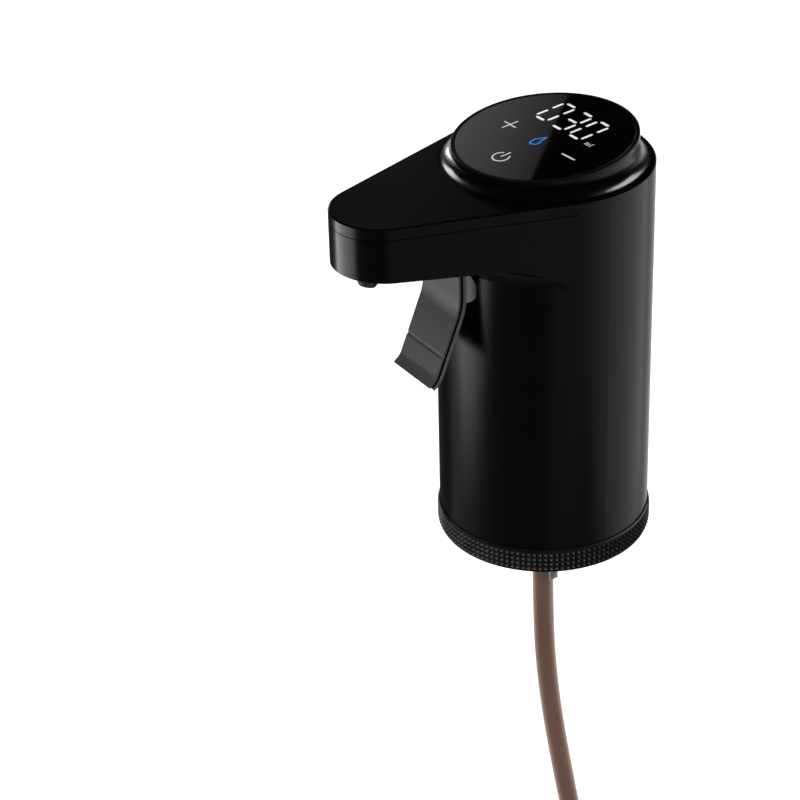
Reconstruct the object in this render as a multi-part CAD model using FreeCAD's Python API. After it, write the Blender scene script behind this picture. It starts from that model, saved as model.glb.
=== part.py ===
"""Wine preservation dispenser that sits on a bottle, as separate pieces, in millimetres.

Frame: +Z up. The origin is on the axis of the round body, in the plane of the bottle's lip. The spout arm
points along -Y, and the dispenser is close to symmetric about X = 0.
"""
import FreeCAD, Part
import math
import os
from FreeCAD import Placement, Rotation, Vector

# ---------------------------------------------------------------------------- driving dimensions, body
BODY_R = 29.0  # outside radius of the round body
BODY_WALL = 1.6  # moulded wall of body and arm
BODY_HEIGHT = 103.4  # from the body's lower edge to the flat top
NOSE_REACH = 50.25  # body axis to the centre of the arm's round nose
NOSE_R = 13.55  # outside radius of the nose
ARM_DEPTH = 17.85  # flat top down to the arm's underside, as if at the body axis
ARM_TAPER = 0.048  # rise of the underside per millimetre toward the nose
ARM_ROOT_R = 7.0  # concave fillet where the arm meets the front of the body

# top cover, collar, bezel and glass
COVER_SKIRT = 3.2  # depth of the cover's skirt along the arm
COVER_EDGE = 0.6  # edge of the cover that shows round the body
COVER_CHAMFER = 0.35  # bright edge round the flat top
SEAM_GROOVE = 0.25  # shadow groove along the cover's seam
TOP_LAND = 0.35  # flat ring between the top's bright edge and the foot of the flare
COLLAR_FLARE_R = 4.0  # concave flare from the flat top to the collar
DISPLAY_RISE = 5.94  # centre of the bezel above the flat top
DISPLAY_SLOPE = 0.095  # rise of the display per millimetre toward the back
BEZEL_OVERHANG = 0.37  # how far the bezel ring stands out of the collar
BEZEL_WIDTH = 0.92  # radial width of the bezel ring
BEZEL_T = 1.3  # height of the bezel ring
BEZEL_EDGE_R = 0.3  # rounding of its outer top edge
GLASS_GAP = 0.15  # joint between bezel and glass
GLASS_T = 1.2  # thickness of the glass
COLLAR_WALL = 2.7  # wall of the collar beside the display board
BOARD_LEDGE = 1.2  # width of the ledge that carries the display board
BOARD_LEVEL = 2.1  # room between the glass's seat and the display board
LED_SIDE_MARGIN = 7.5  # LED block inside the display board's rim, at the sides and at the back
LED_BACK_MARGIN = 5.0
LED_DEPTH = 13.0
LED_CORNER_R = 1.0
TOUCH_PAD_R = 2.2
KEY_ROW_Y = 3.0  # row of three keys in front of the middle
KEY_SIDE_MARGIN = 9.5  # outer keys inside the display board's rim
KEY_SHIFT = 0.5  # right key and power key stand this far to the right
POWER_KEY_MARGIN = 6.5
LOCATING_RIM_T = 1.2  # rim of the cover inside the housing
LOCATING_RIM_H = 1.5  # how far the rim reaches below the skirt

# ---------------------------------------------------------------------------- driving dimensions, base
SOCKET_DEPTH = 12.0  # lower edge of the lock ring below the bottle's lip
SOCKET_R = 17.5  # bore round the head of the bottle
CARRIER_WALL = 2.3  # wall of the stopper carrier
CARRIER_CEILING = 1.3  # its ceiling above the seal
CARRIER_LUG_T = 1.4  # bayonet lugs of the carrier
CARRIER_LUG_REACH = 2.8
CARRIER_RECESS = 0.4  # carrier's lower edge above the ring's lower edge
LUG_COUNT = 3
LUG_ANGLE = 50.0
RING_UNLOCK_ANGLE = 60.0  # turn of the ring that frees the carrier
RING_LUG_T = 1.6
RING_WEB_T = 1.5
RETAINER_T = 1.5
RING_TIP_STAND = 0.75  # how far the points of the knurl stand out of the body
KNURL_DEPTH = 0.7
KNURL_COUNT = 120
KNURL_ROWS = 4
RING_LIP_STAND = 0.3  # how far the ring's top lip stands out of the body
RING_TOP_LIP = 0.75
RING_FOOT_LIP = 0.35
HUB_WALL = 3.2  # hub that the ring turns on
RETAINER_LIP = 1.5  # how far the retainer reaches past the hub
CHASSIS_BRIM_T = 2.0
CHASSIS_TOP_T = 2.0
CHASSIS_WALL = 2.0
BASE_SCREW_INSET = 2.05  # base screws inside the body's bore
BASE_BOSS_R = 2.4
BASE_BOSS_H = 10.0
BASE_SCREW_L = 6.0

# stopper
SEAL_LAND_R = 9.25  # plain land in an 18.5 mm bottle bore
SEAL_LAND_L = 9.0
SEAL_LENGTH = 24.0
SEAL_RIB_R = 9.15
SEAL_RIB_STEP = 3.6
SEAL_RIB_TAPER = 0.2
SEAL_ROOT_R = 8.3
SEAL_FLANGE_R = 14.5
SEAL_FLANGE_T = 1.2
SEAL_NECK_R = 8.6  # sleeve inside the lip gasket
GASKET_BORE_GAP = 0.1  # gasket's bore outside the plain land
CORE_R = 6.6
CORE_FLANGE_R = 7.4
CORE_FLANGE_T = 2.0
CORE_BORE_R = 1.6
SPIGOT_R = 4.0
BARB_R = 2.1
BARB_L = 7.0
AIR_BORE_R = 0.8
AIR_BORE_X = 5.2
AIR_VALVE_R = 1.6
AIR_VALVE_L = 5.0
O_RING_SECTION = 1.0

# dip tube: points of its route in the plane X = 0, as (Y, Z)
DIP_TUBE_R = 3.0
DIP_TUBE_ROUTE = [
    (0.0, -26.0),
    (0.0, -50.0),
    (2.5, -77.0),
    (7.4, -106.0),
    (13.4, -137.0),
    (19.4, -170.0),
    (24.0, -205.0),
    (26.6, -240.0),
    (27.2, -262.0),
]

# ---------------------------------------------------------------------------- driving dimensions, lever
LEVER_HALF_W = 8.5
LEVER_STAND = 3.9  # plate's front face in front of the round body
LEVER_TOP_DROP = 1.75  # plate's upper end below the arm's underside, as if at the body axis
LEVER_UPRIGHT_H = 11.5  # height of the plate's upright part
LEVER_SLOPE_H = 18.7  # height of its sloping part
LEVER_SLOPE_REACH = 7.85  # how far the sloping part leans forward
LEVER_LIP_H = 1.6  # height of the lip at its foot
LEVER_LIP_REACH = 2.0  # how far the lip reaches forward
LEVER_BEND_R = 15.0
LEVER_CURL_R = 4.0
LEVER_SKIN_T = 0.6
LEVER_GROOVE = 0.8  # shadow groove between the plate and the backing's flanges
LEVER_INSET = 1.0
LEVER_WEB_T = 1.2
LEVER_FLANGE_T = 1.0
LEVER_FLANGE_W = 1.5
LEVER_CREASE_DROP = 13.8  # crease below the bend, along the plate
LEVER_CREASE_R = 1.2
LEVER_CREASE_DEPTH = 0.25
LEVER_BACKING_SHORT = 0.5  # backing's foot short of the plate's foot
LEVER_TRAVEL_DEG = 7.0
PIVOT_DEPTH = 6.5  # pivot behind the body's front
PIVOT_DROP = 6.0  # pivot below the plate's upper end
PIVOT_PIN_R = 1.0
PIVOT_HUB_R = 2.6
EAR_T = 1.6
EAR_BELOW = 4.5  # ear's lower edge below the pivot
EAR_ABOVE = 3.2  # ear's upper edge above the pivot
EAR_TOP_REACH = 6.9  # its upper back corner in front of the pivot
EAR_NECK_REACH = 4.5  # its neck, where it enters the body, in front of the pivot
EAR_NECK_BELOW = 3.4  # neck's lower and upper edges below the pivot
EAR_NECK_TOP_BELOW = 1.2
EAR_EDGE_R = 1.4
SLOT_ABOVE = 2.4  # slot's upper end above the pivot
SLOT_MARGIN = 0.45
TAIL_REACH = 5.5  # middle of the tail behind the pivot
TAIL_DEPTH = 3.0
TAIL_RISE = 3.4  # top of the tail above the pivot
TAIL_T = 4.4

# switch, spring and their bracket
PLUNGER_TRAVEL = 0.75
PLUNGER_SIZE = (2.9, 1.2)
SWITCH_SIZE = (12.8, 5.8, 6.5)
SWITCH_RISE = 1.6  # switch case above the tail
SPRING_X = 7.65
SPRING_R = 0.95
SPRING_WIRE = 0.35
SPRING_TURNS = 6
BRACKET_T = 1.7
BRACKET_HALF_W = 17.5
BRACKET_MID_HALF_W = 12.0
BRACKET_DEPTH = 8.0
WING_DROP = 3.5
CHEEK_INNER_X = 4.8
CHEEK_T = 1.8
CHEEK_DEPTH = 4.8
CHEEK_BELOW = 2.8
RIB_X = 14.0
RIB_W = 3.0
RIB_DEPTH = 3.0  # rib's face behind the pivot
RIB_H = 24.0

# ---------------------------------------------------------------------------- driving dimensions, inside
GEAR_TEETH = 10
GEAR_MODULE = 1.0
GEAR_PRESSURE_DEG = 25.0
GEAR_ADDENDUM = 0.95
GEAR_DEDENDUM = 1.15
GEAR_BACKLASH = 0.12
GEAR_T = 6.0
MOTOR_CLEARANCE = 1.2  # motor in front of the body's wall
PUMP_FLOOR_T = 5.0
PUMP_COVER_T = 4.0
PUMP_HALF_W = 18.0
PUMP_FRONT_REACH = 5.5  # pump block in front of the drive gear's axis
PUMP_BACK_REACH = 20.0  # and behind it
PUMP_CORNER_R = 3.5
PUMP_FRONT_R = 9.4
PORT_POCKET_R = 2.2
PORT_R = 1.2
OUTLET_X = 15.5
MOUNT_T = 3.2
MOTOR_R = 12.2
MOTOR_LENGTH = 30.8
MOTOR_WALL = 1.0
MOTOR_BOSS_R = 3.5
MOTOR_BOSS_H = 1.8
MOTOR_FLOOR_T = 1.5
MOTOR_CAP_T = 3.0
MOTOR_SCREW_X = 8.0
CAP_HUB_R = 3.0
CAP_HUB_H = 2.2
TERMINAL_X = 7.0  # middle of each motor terminal
TERMINAL_T = 0.6
TERMINAL_W = 3.0
TERMINAL_H = 4.0
SHAFT_SEAL_R = 3.0
SHAFT_SEAL_T = 2.0
SHAFT_R = 1.0
ROTOR_R = 9.0
ROTOR_SLOT_R = 3.2
ROTOR_END_GAP = 5.0
BATTERY_R = 7.0
BATTERY_LENGTH = 50.0
BATTERY_NUB = 1.0  # raised contact at the top of the cell
BATTERY_NUB_R = 3.0
TAB_FOOT_R = 4.0
TAB_T = 0.3
CRADLE_WALL = 1.3
CRADLE_FIT = 0.2
BOARD_ABOVE_CRADLE = 5.4
CRADLE_END_T = 1.8
CRADLE_WINDOW_END = 9.0  # cradle's window short of each end of the cell
CRADLE_WINDOW_SIDE = 2.0
CRADLE_FOOT_HALF = 1.8
BOARD_CLEARANCE = 2.0  # corners of the control board inside the body's bore
BATTERY_TO_BOARD = 1.0
BOARD_T = 1.0
BOARD_HALF_W = 10.0
# chips on the control board: left foot corner (x, z), then width, thickness and height
BOARD_CHIPS = (
    ((-3.5, 34.0), (7.0, 0.9, 7.0)),
    ((-6.0, 50.0), (4.0, 0.9, 5.0)),
    ((1.5, 50.0), (4.0, 1.8, 4.0)),
    ((-2.5, 24.0), (5.0, 0.8, 6.0)),
)
RIBBON_T = 0.25
RIBBON_HALF_W = 4.0
RIBBON_SETBACK = 13.0  # upper run of the ribbon in front of the control board
USB_Z = 13.0
USB_SIZE = (8.94, 3.26)
HOSE_R = 2.5
HOSE_BORE_R = 1.8
HOSE_TURN_R = 9.0

# nozzle, tipped forward
NOZZLE_FORWARD = 4.95  # nozzle's tip in front of the nose's centre
NOZZLE_DROP = 5.7  # nozzle's tip below the underside
NOZZLE_TILT_DEG = 12.0
NOZZLE_R = 3.2
NOZZLE_TIP_R = 2.3
NOZZLE_TAPER_L = 1.8
NOZZLE_BORE_R = 1.9
NOZZLE_SEAT = 9.0  # from the tip to the flange's seat
NOZZLE_FLANGE_R = 5.0
NOZZLE_FLANGE_T = 1.2
NOZZLE_EAR_X = 6.4
NOZZLE_HEAD_R = 3.4
NOZZLE_HEAD_L = 6.0
NOZZLE_SPOUT_L = 10.5

# clearances
RUN = 0.05  # shaft in hole
SLIDE = 0.1  # ring on hub, chassis in body
GAP = 0.3  # between pieces that move past each other

# screws: shank radius, head radius, head height
SCREW_SMALL = (0.8, 1.6, 0.9)
SCREW_MOTOR = (1.0, 2.0, 1.2)
SCREW_PUMP = (1.25, 2.2, 1.6)

# ---------------------------------------------------------------------------- levels worked out from the above
BODY_LOW_Z = -SOCKET_DEPTH + RING_LUG_T + CARRIER_LUG_T + RETAINER_T + RING_WEB_T + 4 * GAP
TOP_Z = BODY_LOW_Z + BODY_HEIGHT
SKIRT_Z = TOP_Z - COVER_SKIRT
RIM_Z = TOP_Z - COVER_EDGE
BODY_BORE_R = BODY_R - BODY_WALL
COLLAR_R = BODY_R - COVER_CHAMFER - TOP_LAND - COLLAR_FLARE_R
BEZEL_R = COLLAR_R + BEZEL_OVERHANG
DISPLAY_Z = TOP_Z + DISPLAY_RISE
DISPLAY_TILT = math.degrees(math.atan(DISPLAY_SLOPE))
RING_TIP_R = BODY_R + RING_TIP_STAND
RING_LIP_R = BODY_R + RING_LIP_STAND
RING_LOW_Z = -SOCKET_DEPTH
RING_TOP_Z = BODY_LOW_Z - GAP
RING_LUG_TOP_Z = RING_LOW_Z + RING_LUG_T
CARRIER_LUG_LOW_Z = RING_LUG_TOP_Z + GAP
RETAINER_LOW_Z = CARRIER_LUG_LOW_Z + CARRIER_LUG_T + GAP
RETAINER_TOP_Z = RETAINER_LOW_Z + RETAINER_T
RING_WEB_LOW_Z = RETAINER_TOP_Z + GAP
CARRIER_R = SOCKET_R + CARRIER_WALL
LUG_R = CARRIER_R + CARRIER_LUG_REACH
HUB_BORE_R = CARRIER_R + GAP
HUB_R = HUB_BORE_R + HUB_WALL
RETAINER_R = HUB_R + RETAINER_LIP
CARRIER_TOP_Z = SEAL_FLANGE_T + CARRIER_CEILING
CROWN_LOW_Z = CARRIER_TOP_Z + GAP
CHASSIS_TOP_Z = CROWN_LOW_Z + CHASSIS_TOP_T
CORE_LOW_Z = -SEAL_LENGTH - CORE_FLANGE_T
PUMP_FLOOR_Z = CHASSIS_TOP_Z + PUMP_FLOOR_T
PUMP_SPLIT_Z = PUMP_FLOOR_Z + GEAR_T + 2 * RUN
PUMP_TOP_Z = PUMP_SPLIT_Z + PUMP_COVER_T
MOUNT_TOP_Z = PUMP_TOP_Z + MOUNT_T
MOTOR_TOP_Z = MOUNT_TOP_Z + MOTOR_LENGTH
PUMP_Y = -(BODY_BORE_R - MOTOR_CLEARANCE - MOTOR_R)
PUMP_FRONT_Y = PUMP_Y - PUMP_FRONT_REACH
PUMP_BACK_Y = PUMP_Y + PUMP_BACK_REACH
PUMP_SCREW_X = PUMP_HALF_W - 3.0
GEAR_PITCH_R = GEAR_MODULE * GEAR_TEETH / 2.0
IDLER_Y = PUMP_Y + 2 * GEAR_PITCH_R
MESH_Y = PUMP_Y + GEAR_PITCH_R
GEAR_TIP_R = GEAR_PITCH_R + GEAR_ADDENDUM * GEAR_MODULE
CHAMBER_R = GEAR_TIP_R + 0.08
UNDERSIDE_Z = TOP_Z - ARM_DEPTH
LEVER_TOP_Z = UNDERSIDE_Z - LEVER_TOP_DROP
LEVER_BEND_Z = LEVER_TOP_Z - LEVER_UPRIGHT_H
LEVER_CURL_Z = LEVER_BEND_Z - LEVER_SLOPE_H
LEVER_FRONT_Y = -BODY_R - LEVER_STAND
LEVER_CURL_Y = LEVER_FRONT_Y - LEVER_SLOPE_REACH
LEVER_PATH = [
    (LEVER_FRONT_Y, LEVER_TOP_Z),
    (LEVER_FRONT_Y, LEVER_BEND_Z),
    (LEVER_CURL_Y, LEVER_CURL_Z),
    (LEVER_CURL_Y - LEVER_LIP_REACH, LEVER_CURL_Z - LEVER_LIP_H),
]
PIVOT_Y = -BODY_R + PIVOT_DEPTH
PIVOT_Z = LEVER_TOP_Z - PIVOT_DROP
EAR_LOW_Z = PIVOT_Z - EAR_BELOW
EAR_TOP_Z = PIVOT_Z + EAR_ABOVE
PLUNGER_Y = PIVOT_Y + TAIL_REACH
TAIL_TOP_Z = PIVOT_Z + TAIL_RISE
TAIL_LOW_Z = TAIL_TOP_Z - TAIL_T
TAIL_FRONT_Y = PLUNGER_Y - TAIL_DEPTH / 2.0
TAIL_BACK_Y = PLUNGER_Y + TAIL_DEPTH / 2.0
SWITCH_LOW_Z = TAIL_TOP_Z + SWITCH_RISE
SWITCH_TOP_Z = SWITCH_LOW_Z + SWITCH_SIZE[2]
RIB_FACE_Y = PIVOT_Y + RIB_DEPTH
RIB_SCREW_Z = SWITCH_TOP_Z + BRACKET_T - 3.0
NOZZLE_TIP_Y = -NOSE_REACH - NOZZLE_FORWARD
NOZZLE_TIP_Z = UNDERSIDE_Z - ARM_TAPER * NOZZLE_TIP_Y - NOZZLE_DROP
BRACKET_TOP_Z = SWITCH_TOP_Z + BRACKET_T
BOARD_Y = math.sqrt((BODY_BORE_R - BOARD_CLEARANCE) ** 2 - BOARD_HALF_W ** 2) - BOARD_T
BATTERY_Y = BOARD_Y - BATTERY_TO_BOARD - BATTERY_R
CRADLE_LOW_Z = MOUNT_TOP_Z + GAP
BATTERY_LOW_Z = CRADLE_LOW_Z + CRADLE_END_T + TAB_T
CRADLE_TOP_Z = BATTERY_LOW_Z + BATTERY_LENGTH + TAB_T + CRADLE_END_T
CRADLE_R = BATTERY_R + CRADLE_FIT + CRADLE_WALL
CRADLE_FOOT_X = CRADLE_R - CRADLE_FOOT_HALF
BOARD_TOP_Z = CRADLE_TOP_Z + BOARD_ABOVE_CRADLE

PARTS = {}


# ---------------------------------------------------------------------------- helpers
def cylinder(radius, z_low, z_high, x=0.0, y=0.0):
    """Upright cylinder between two heights."""
    return Part.makeCylinder(radius, z_high - z_low, Vector(x, y, z_low))


def pipe(radius, bore, z_low, z_high, x=0.0, y=0.0):
    """Upright tube between two heights."""
    return cylinder(radius, z_low, z_high, x, y).cut(cylinder(bore, z_low, z_high, x, y))


def rod(radius, start, end):
    """Cylinder from one point to another."""
    a = Vector(*start)
    b = Vector(*end)
    return Part.makeCylinder(radius, (b - a).Length, a, b - a)


def block(x_low, x_high, y_low, y_high, z_low, z_high):
    """Box between two corners."""
    return Part.makeBox(x_high - x_low, y_high - y_low, z_high - z_low, Vector(x_low, y_low, z_low))


def rounded_block(x_low, x_high, y_low, y_high, z_low, z_high, radius):
    """Box with its four upright edges rounded."""
    body = block(x_low, x_high, y_low, y_high, z_low, z_high)
    upright = [e for e in body.Edges if abs(e.tangentAt(e.FirstParameter).z) > 0.9]
    return body.makeFillet(radius, upright)


def sector(radius, z_low, z_high, centre_deg, angle_deg):
    """Pie slice of a cylinder, centred on a direction in the XY plane."""
    piece = Part.makeCylinder(radius, z_high - z_low, Vector(0, 0, z_low), Vector(0, 0, 1), angle_deg)
    piece.rotate(Vector(0, 0, 0), Vector(0, 0, 1), centre_deg - angle_deg / 2.0)
    return piece


def fuse(shapes):
    """One solid from several that touch."""
    first = shapes[0]
    if len(shapes) == 1:
        return first
    return first.fuse(shapes[1:]).removeSplitter()


def cut(shape, tools):
    """Shape less all the tools."""
    for tool in tools:
        shape = shape.cut(tool)
    return shape


def revolve(points):
    """Solid of revolution about Z from (radius, height) points."""
    wire = Part.makePolygon([Vector(r, 0, z) for r, z in points + [points[0]]])
    return Part.Face(wire).revolve(Vector(0, 0, 0), Vector(0, 0, 1), 360)


def teardrop(inset, z_low, z_high):
    """Prism of the plan outline, moved inwards by inset: body circle, nose circle and two tangent lines."""
    big = BODY_R - inset
    small = NOSE_R - inset
    lean = math.asin((BODY_R - NOSE_R) / NOSE_REACH)
    nx = math.cos(lean)
    ny = -math.sin(lean)
    right_body = Vector(big * nx, big * ny, z_low)
    right_nose = Vector(small * nx, small * ny - NOSE_REACH, z_low)
    left_body = Vector(-big * nx, big * ny, z_low)
    left_nose = Vector(-small * nx, small * ny - NOSE_REACH, z_low)
    edges = [
        Part.LineSegment(right_nose, right_body).toShape(),
        Part.Arc(right_body, Vector(0, big, z_low), left_body).toShape(),
        Part.LineSegment(left_body, left_nose).toShape(),
        Part.Arc(left_nose, Vector(0, -NOSE_REACH - small, z_low), right_nose).toShape(),
    ]
    return Part.Face(Part.Wire(edges)).extrude(Vector(0, 0, z_high - z_low))


def tangent_y():
    """Y of the line where the arm's straight sides leave the round body."""
    return -BODY_R * (BODY_R - NOSE_R) / NOSE_REACH


def front_half(z_low, z_high):
    """Everything in front of the tangent line between two heights."""
    return block(-2 * BODY_R, 2 * BODY_R, -3 * BODY_R, tangent_y(), z_low, z_high)


def below_underside(offset, floor_z):
    """Slab under the sloping underside, moved up by offset."""
    reach = 3 * BODY_R
    z_front = TOP_Z - ARM_DEPTH + ARM_TAPER * reach + offset
    z_back = TOP_Z - ARM_DEPTH - ARM_TAPER * reach + offset
    corners = [
        Vector(-reach, -reach, floor_z),
        Vector(-reach, -reach, z_front),
        Vector(-reach, reach, z_back),
        Vector(-reach, reach, floor_z),
    ]
    face = Part.Face(Part.makePolygon(corners + [corners[0]]))
    return face.extrude(Vector(2 * reach, 0, 0))


def tilt(shape):
    """Move a piece made about Z with its top at 0 onto the tilted display."""
    shape.Placement = Placement(Vector(0, 0, DISPLAY_Z), Rotation(Vector(1, 0, 0), DISPLAY_TILT))
    return shape


def above_display(depth):
    """Everything above the display's plane, less depth."""
    return tilt(cylinder(3 * BODY_R, -depth, 3 * BODY_R))


def nozzle_frame(shape):
    """Move a piece made about Z with the nozzle's tip at 0 onto the tipped nozzle."""
    tip = Vector(0, NOZZLE_TIP_Y, NOZZLE_TIP_Z)
    shape.Placement = Placement(tip, Rotation(Vector(1, 0, 0), -NOZZLE_TILT_DEG))
    return shape


def screw(size, length, x, y, z_seat, up=True):
    """Pan-head screw: its seat at z_seat, the shank going up or down from there."""
    shank_r, head_r, head_h = size
    side = 1.0 if up else -1.0
    shank = Part.makeCylinder(shank_r, length, Vector(x, y, z_seat), Vector(0, 0, side))
    head = Part.makeCylinder(head_r, head_h, Vector(x, y, z_seat), Vector(0, 0, -side))
    recess = Part.makeCylinder(shank_r * 0.8, head_h * 0.6, Vector(x, y, z_seat - side * head_h), Vector(0, 0, side))
    return shank.fuse(head).removeSplitter().cut(recess)


def offset_path(corners, radii, distance):
    """Edges of a path with rounded corners, moved sideways by distance toward the body (+Y)."""
    points = [Vector(0, y, z) for y, z in corners]
    directions = [(b - a).normalize() for a, b in zip(points, points[1:])]
    normals = [Vector(0, -d.z, d.y) for d in directions]
    moved = [points[0] + normals[0] * distance]
    for i in range(1, len(points) - 1):
        mean = normals[i - 1] + normals[i]
        scale = distance * 2.0 / mean.dot(mean)
        moved.append(points[i] + mean * scale)
    moved.append(points[-1] + normals[-1] * distance)
    edges = []
    here = moved[0]
    for i in range(1, len(moved) - 1):
        before = directions[i - 1]
        after = directions[i]
        radius = radii[i - 1] + distance
        half = before.getAngle(after) / 2.0
        reach = radius * math.tan(half)
        start = moved[i] - before * reach
        end = moved[i] + after * reach
        inward = (after - before).normalize()
        middle = moved[i] + inward * (radius / math.cos(half) - radius)
        edges.append(Part.LineSegment(here, start).toShape())
        edges.append(Part.Arc(start, middle, end).toShape())
        here = end
    edges.append(Part.LineSegment(here, moved[-1]).toShape())
    return edges


def sheet(corners, radii, near, far, x_low, x_high):
    """Bent sheet across X between two offsets of a path."""
    front = offset_path(corners, radii, near)
    back = offset_path(corners, radii, far)
    close_low = Part.LineSegment(front[-1].Vertexes[-1].Point, back[-1].Vertexes[-1].Point).toShape()
    close_top = Part.LineSegment(front[0].Vertexes[0].Point, back[0].Vertexes[0].Point).toShape()
    wire = Part.Wire(Part.__sortEdges__(front + [close_low] + back + [close_top]))
    face = Part.Face(wire)
    face.translate(Vector(x_low, 0, 0))
    return face.extrude(Vector(x_high - x_low, 0, 0))


def bent_path(points, radii):
    """Wire of straight runs joined by tangent arcs through corner points in space."""
    edges = []
    here = points[0]
    for i in range(1, len(points) - 1):
        before = (points[i] - points[i - 1]).normalize()
        after = (points[i + 1] - points[i]).normalize()
        half = before.getAngle(after) / 2.0
        radius = radii[i - 1]
        reach = radius * math.tan(half)
        start = points[i] - before * reach
        end = points[i] + after * reach
        inward = (after - before).normalize()
        middle = points[i] + inward * (radius / math.cos(half) - radius)
        edges.append(Part.LineSegment(here, start).toShape())
        edges.append(Part.Arc(start, middle, end).toShape())
        here = end
    edges.append(Part.LineSegment(here, points[-1]).toShape())
    return Part.Wire(edges)


def swept(path, profile_radius, start, direction):
    """Round bar along a path."""
    circle = Part.Wire(Part.Circle(start, direction, profile_radius).toShape())
    return path.makePipeShell([circle], True, True)


# ---------------------------------------------------------------------------- housing and cover
def arm_tool(offset, fillet_r):
    """Tool that shapes the underside of the arm and its fillet to the body's front."""
    slab = below_underside(offset, BODY_LOW_Z - 1.0)
    hole = cylinder(BODY_R + offset, BODY_LOW_Z - 2.0, TOP_Z)
    tool = slab.cut(hole)
    top_z = TOP_Z - ARM_DEPTH + offset
    band = ARM_TAPER * (BODY_R + offset) + 0.1
    rim = []
    for edge in tool.Edges:
        box = edge.BoundBox
        near_rim = abs(box.XMax - BODY_R - offset) < 0.5 and abs((box.ZMin + box.ZMax) / 2.0 - top_z) < band
        if near_rim:
            rim.append(edge)
    return tool.makeFillet(fillet_r, rim)


def arm_block(z_top):
    """Arm with its sloping underside and its fillet to the body."""
    blank = teardrop(0.0, UNDERSIDE_Z - ARM_ROOT_R - 1.0, z_top)
    return blank.cut(arm_tool(0.0, ARM_ROOT_R))


def make_main_housing():
    """Round body and arm trough as one moulding, open at the top, with its bosses and cut-outs."""
    body = cylinder(BODY_R, BODY_LOW_Z, RIM_Z).cut(front_half(SKIRT_Z, TOP_Z))
    outer = fuse([body, arm_block(SKIRT_Z)])
    seam = teardrop(-1.0, SKIRT_Z - SEAM_GROOVE, SKIRT_Z).cut(teardrop(SEAM_GROOVE, SKIRT_Z - 1.0, TOP_Z))
    outer = outer.cut(seam.common(front_half(SKIRT_Z - 1.0, TOP_Z)))
    bore = cylinder(BODY_BORE_R, BODY_LOW_Z, TOP_Z)
    trough = teardrop(BODY_WALL, TOP_Z - ARM_DEPTH - ARM_ROOT_R, TOP_Z).cut(below_underside(BODY_WALL, BODY_LOW_Z))
    shell = cut(outer, [bore, trough])

    seat = nozzle_frame(cylinder(NOZZLE_FLANGE_R + 0.4, 0, NOZZLE_SEAT)).cut(below_underside(0.1, BODY_LOW_Z))
    ears = []
    for side in (-1, 1):
        post = nozzle_frame(cylinder(1.7, 0, NOZZLE_SEAT, side * NOZZLE_EAR_X))
        ears.append(post.cut(below_underside(0.1, BODY_LOW_Z)))
    ribs = []
    for side in (-1, 1):
        x_low = min(side * RIB_X, side * (RIB_X + RIB_W))
        rib = block(x_low, x_low + RIB_W, -BODY_R, RIB_FACE_Y, BRACKET_TOP_Z - RIB_H, BRACKET_TOP_Z)
        ribs.append(rib.common(cylinder(BODY_R - 0.5, 0, TOP_Z)))
    bosses = []
    for x, y in base_screw_places():
        boss_low = BODY_LOW_Z + CHASSIS_BRIM_T
        boss = cylinder(BASE_BOSS_R, boss_low, boss_low + BASE_BOSS_H, x, y)
        hole = cylinder(SCREW_SMALL[0], boss_low, boss_low + BASE_BOSS_H - 2.0, x, y)
        boss = boss.common(cylinder(BODY_R - 0.5, BODY_LOW_Z, TOP_Z)).cut(hole)
        bosses.append(boss.cut(cylinder(HUB_BORE_R + CHASSIS_WALL + SLIDE, BODY_LOW_Z, TOP_Z)))
    shell = fuse([shell, seat] + ears + ribs + bosses)

    tools = [nozzle_frame(cylinder(NOZZLE_R + SLIDE, -1.0, NOZZLE_SEAT + 1.0))]
    for side in (-1, 1):
        pilot = nozzle_frame(cylinder(SCREW_SMALL[0], NOZZLE_SEAT - 4.5, NOZZLE_SEAT, side * NOZZLE_EAR_X))
        tools.append(pilot)
        screw_x = side * (RIB_X + RIB_W / 2.0)
        rib_hole = rod(SCREW_SMALL[0], (screw_x, RIB_FACE_Y - 3.0, RIB_SCREW_Z), (screw_x, RIB_FACE_Y, RIB_SCREW_Z))
        tools.append(rib_hole)
    tools += ear_slots()
    tools.append(usb_outline(GAP, BODY_BORE_R - 3.0, BODY_R + 1.0))
    tools += snap_pockets()
    return cut(shell, tools)


def base_screw_places():
    """The three screws that hold the chassis in the body's foot."""
    turns = [math.radians(15 + 120 * i) for i in range(3)]
    radius = BODY_BORE_R - BASE_SCREW_INSET
    return [(radius * math.cos(turn), radius * math.sin(turn)) for turn in turns]


def ear_slots():
    """Slots in the body's front that the lever's ears pass through, with room for their swing."""
    sweep = (PIVOT_DEPTH + 1.0) * math.sin(math.radians(LEVER_TRAVEL_DEG))
    slots = []
    for side in (-1, 1):
        inner = LEVER_HALF_W - EAR_T - SLOT_MARGIN
        outer = LEVER_HALF_W + SLOT_MARGIN
        x_low = min(side * inner, side * outer)
        low = EAR_LOW_Z - sweep - SLOT_MARGIN
        high = PIVOT_Z + SLOT_ABOVE
        slots.append(block(x_low, x_low + outer - inner, -BODY_R - 5.0, -BODY_R + PIVOT_DEPTH, low, high))
    return slots


def snap_pockets():
    """Shallow pockets in the wall for the cover's two snap ribs."""
    pockets = []
    for side in (-1, 1):
        x_low = min(side * (BODY_R - 5.0), side * BODY_R)
        pocket = block(x_low, x_low + 5.0, 2.9, 9.1, SKIRT_Z - 1.3, SKIRT_Z - 0.3)
        pockets.append(pocket.common(cylinder(BODY_BORE_R + 0.6, 0, TOP_Z)))
    return pockets


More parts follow.
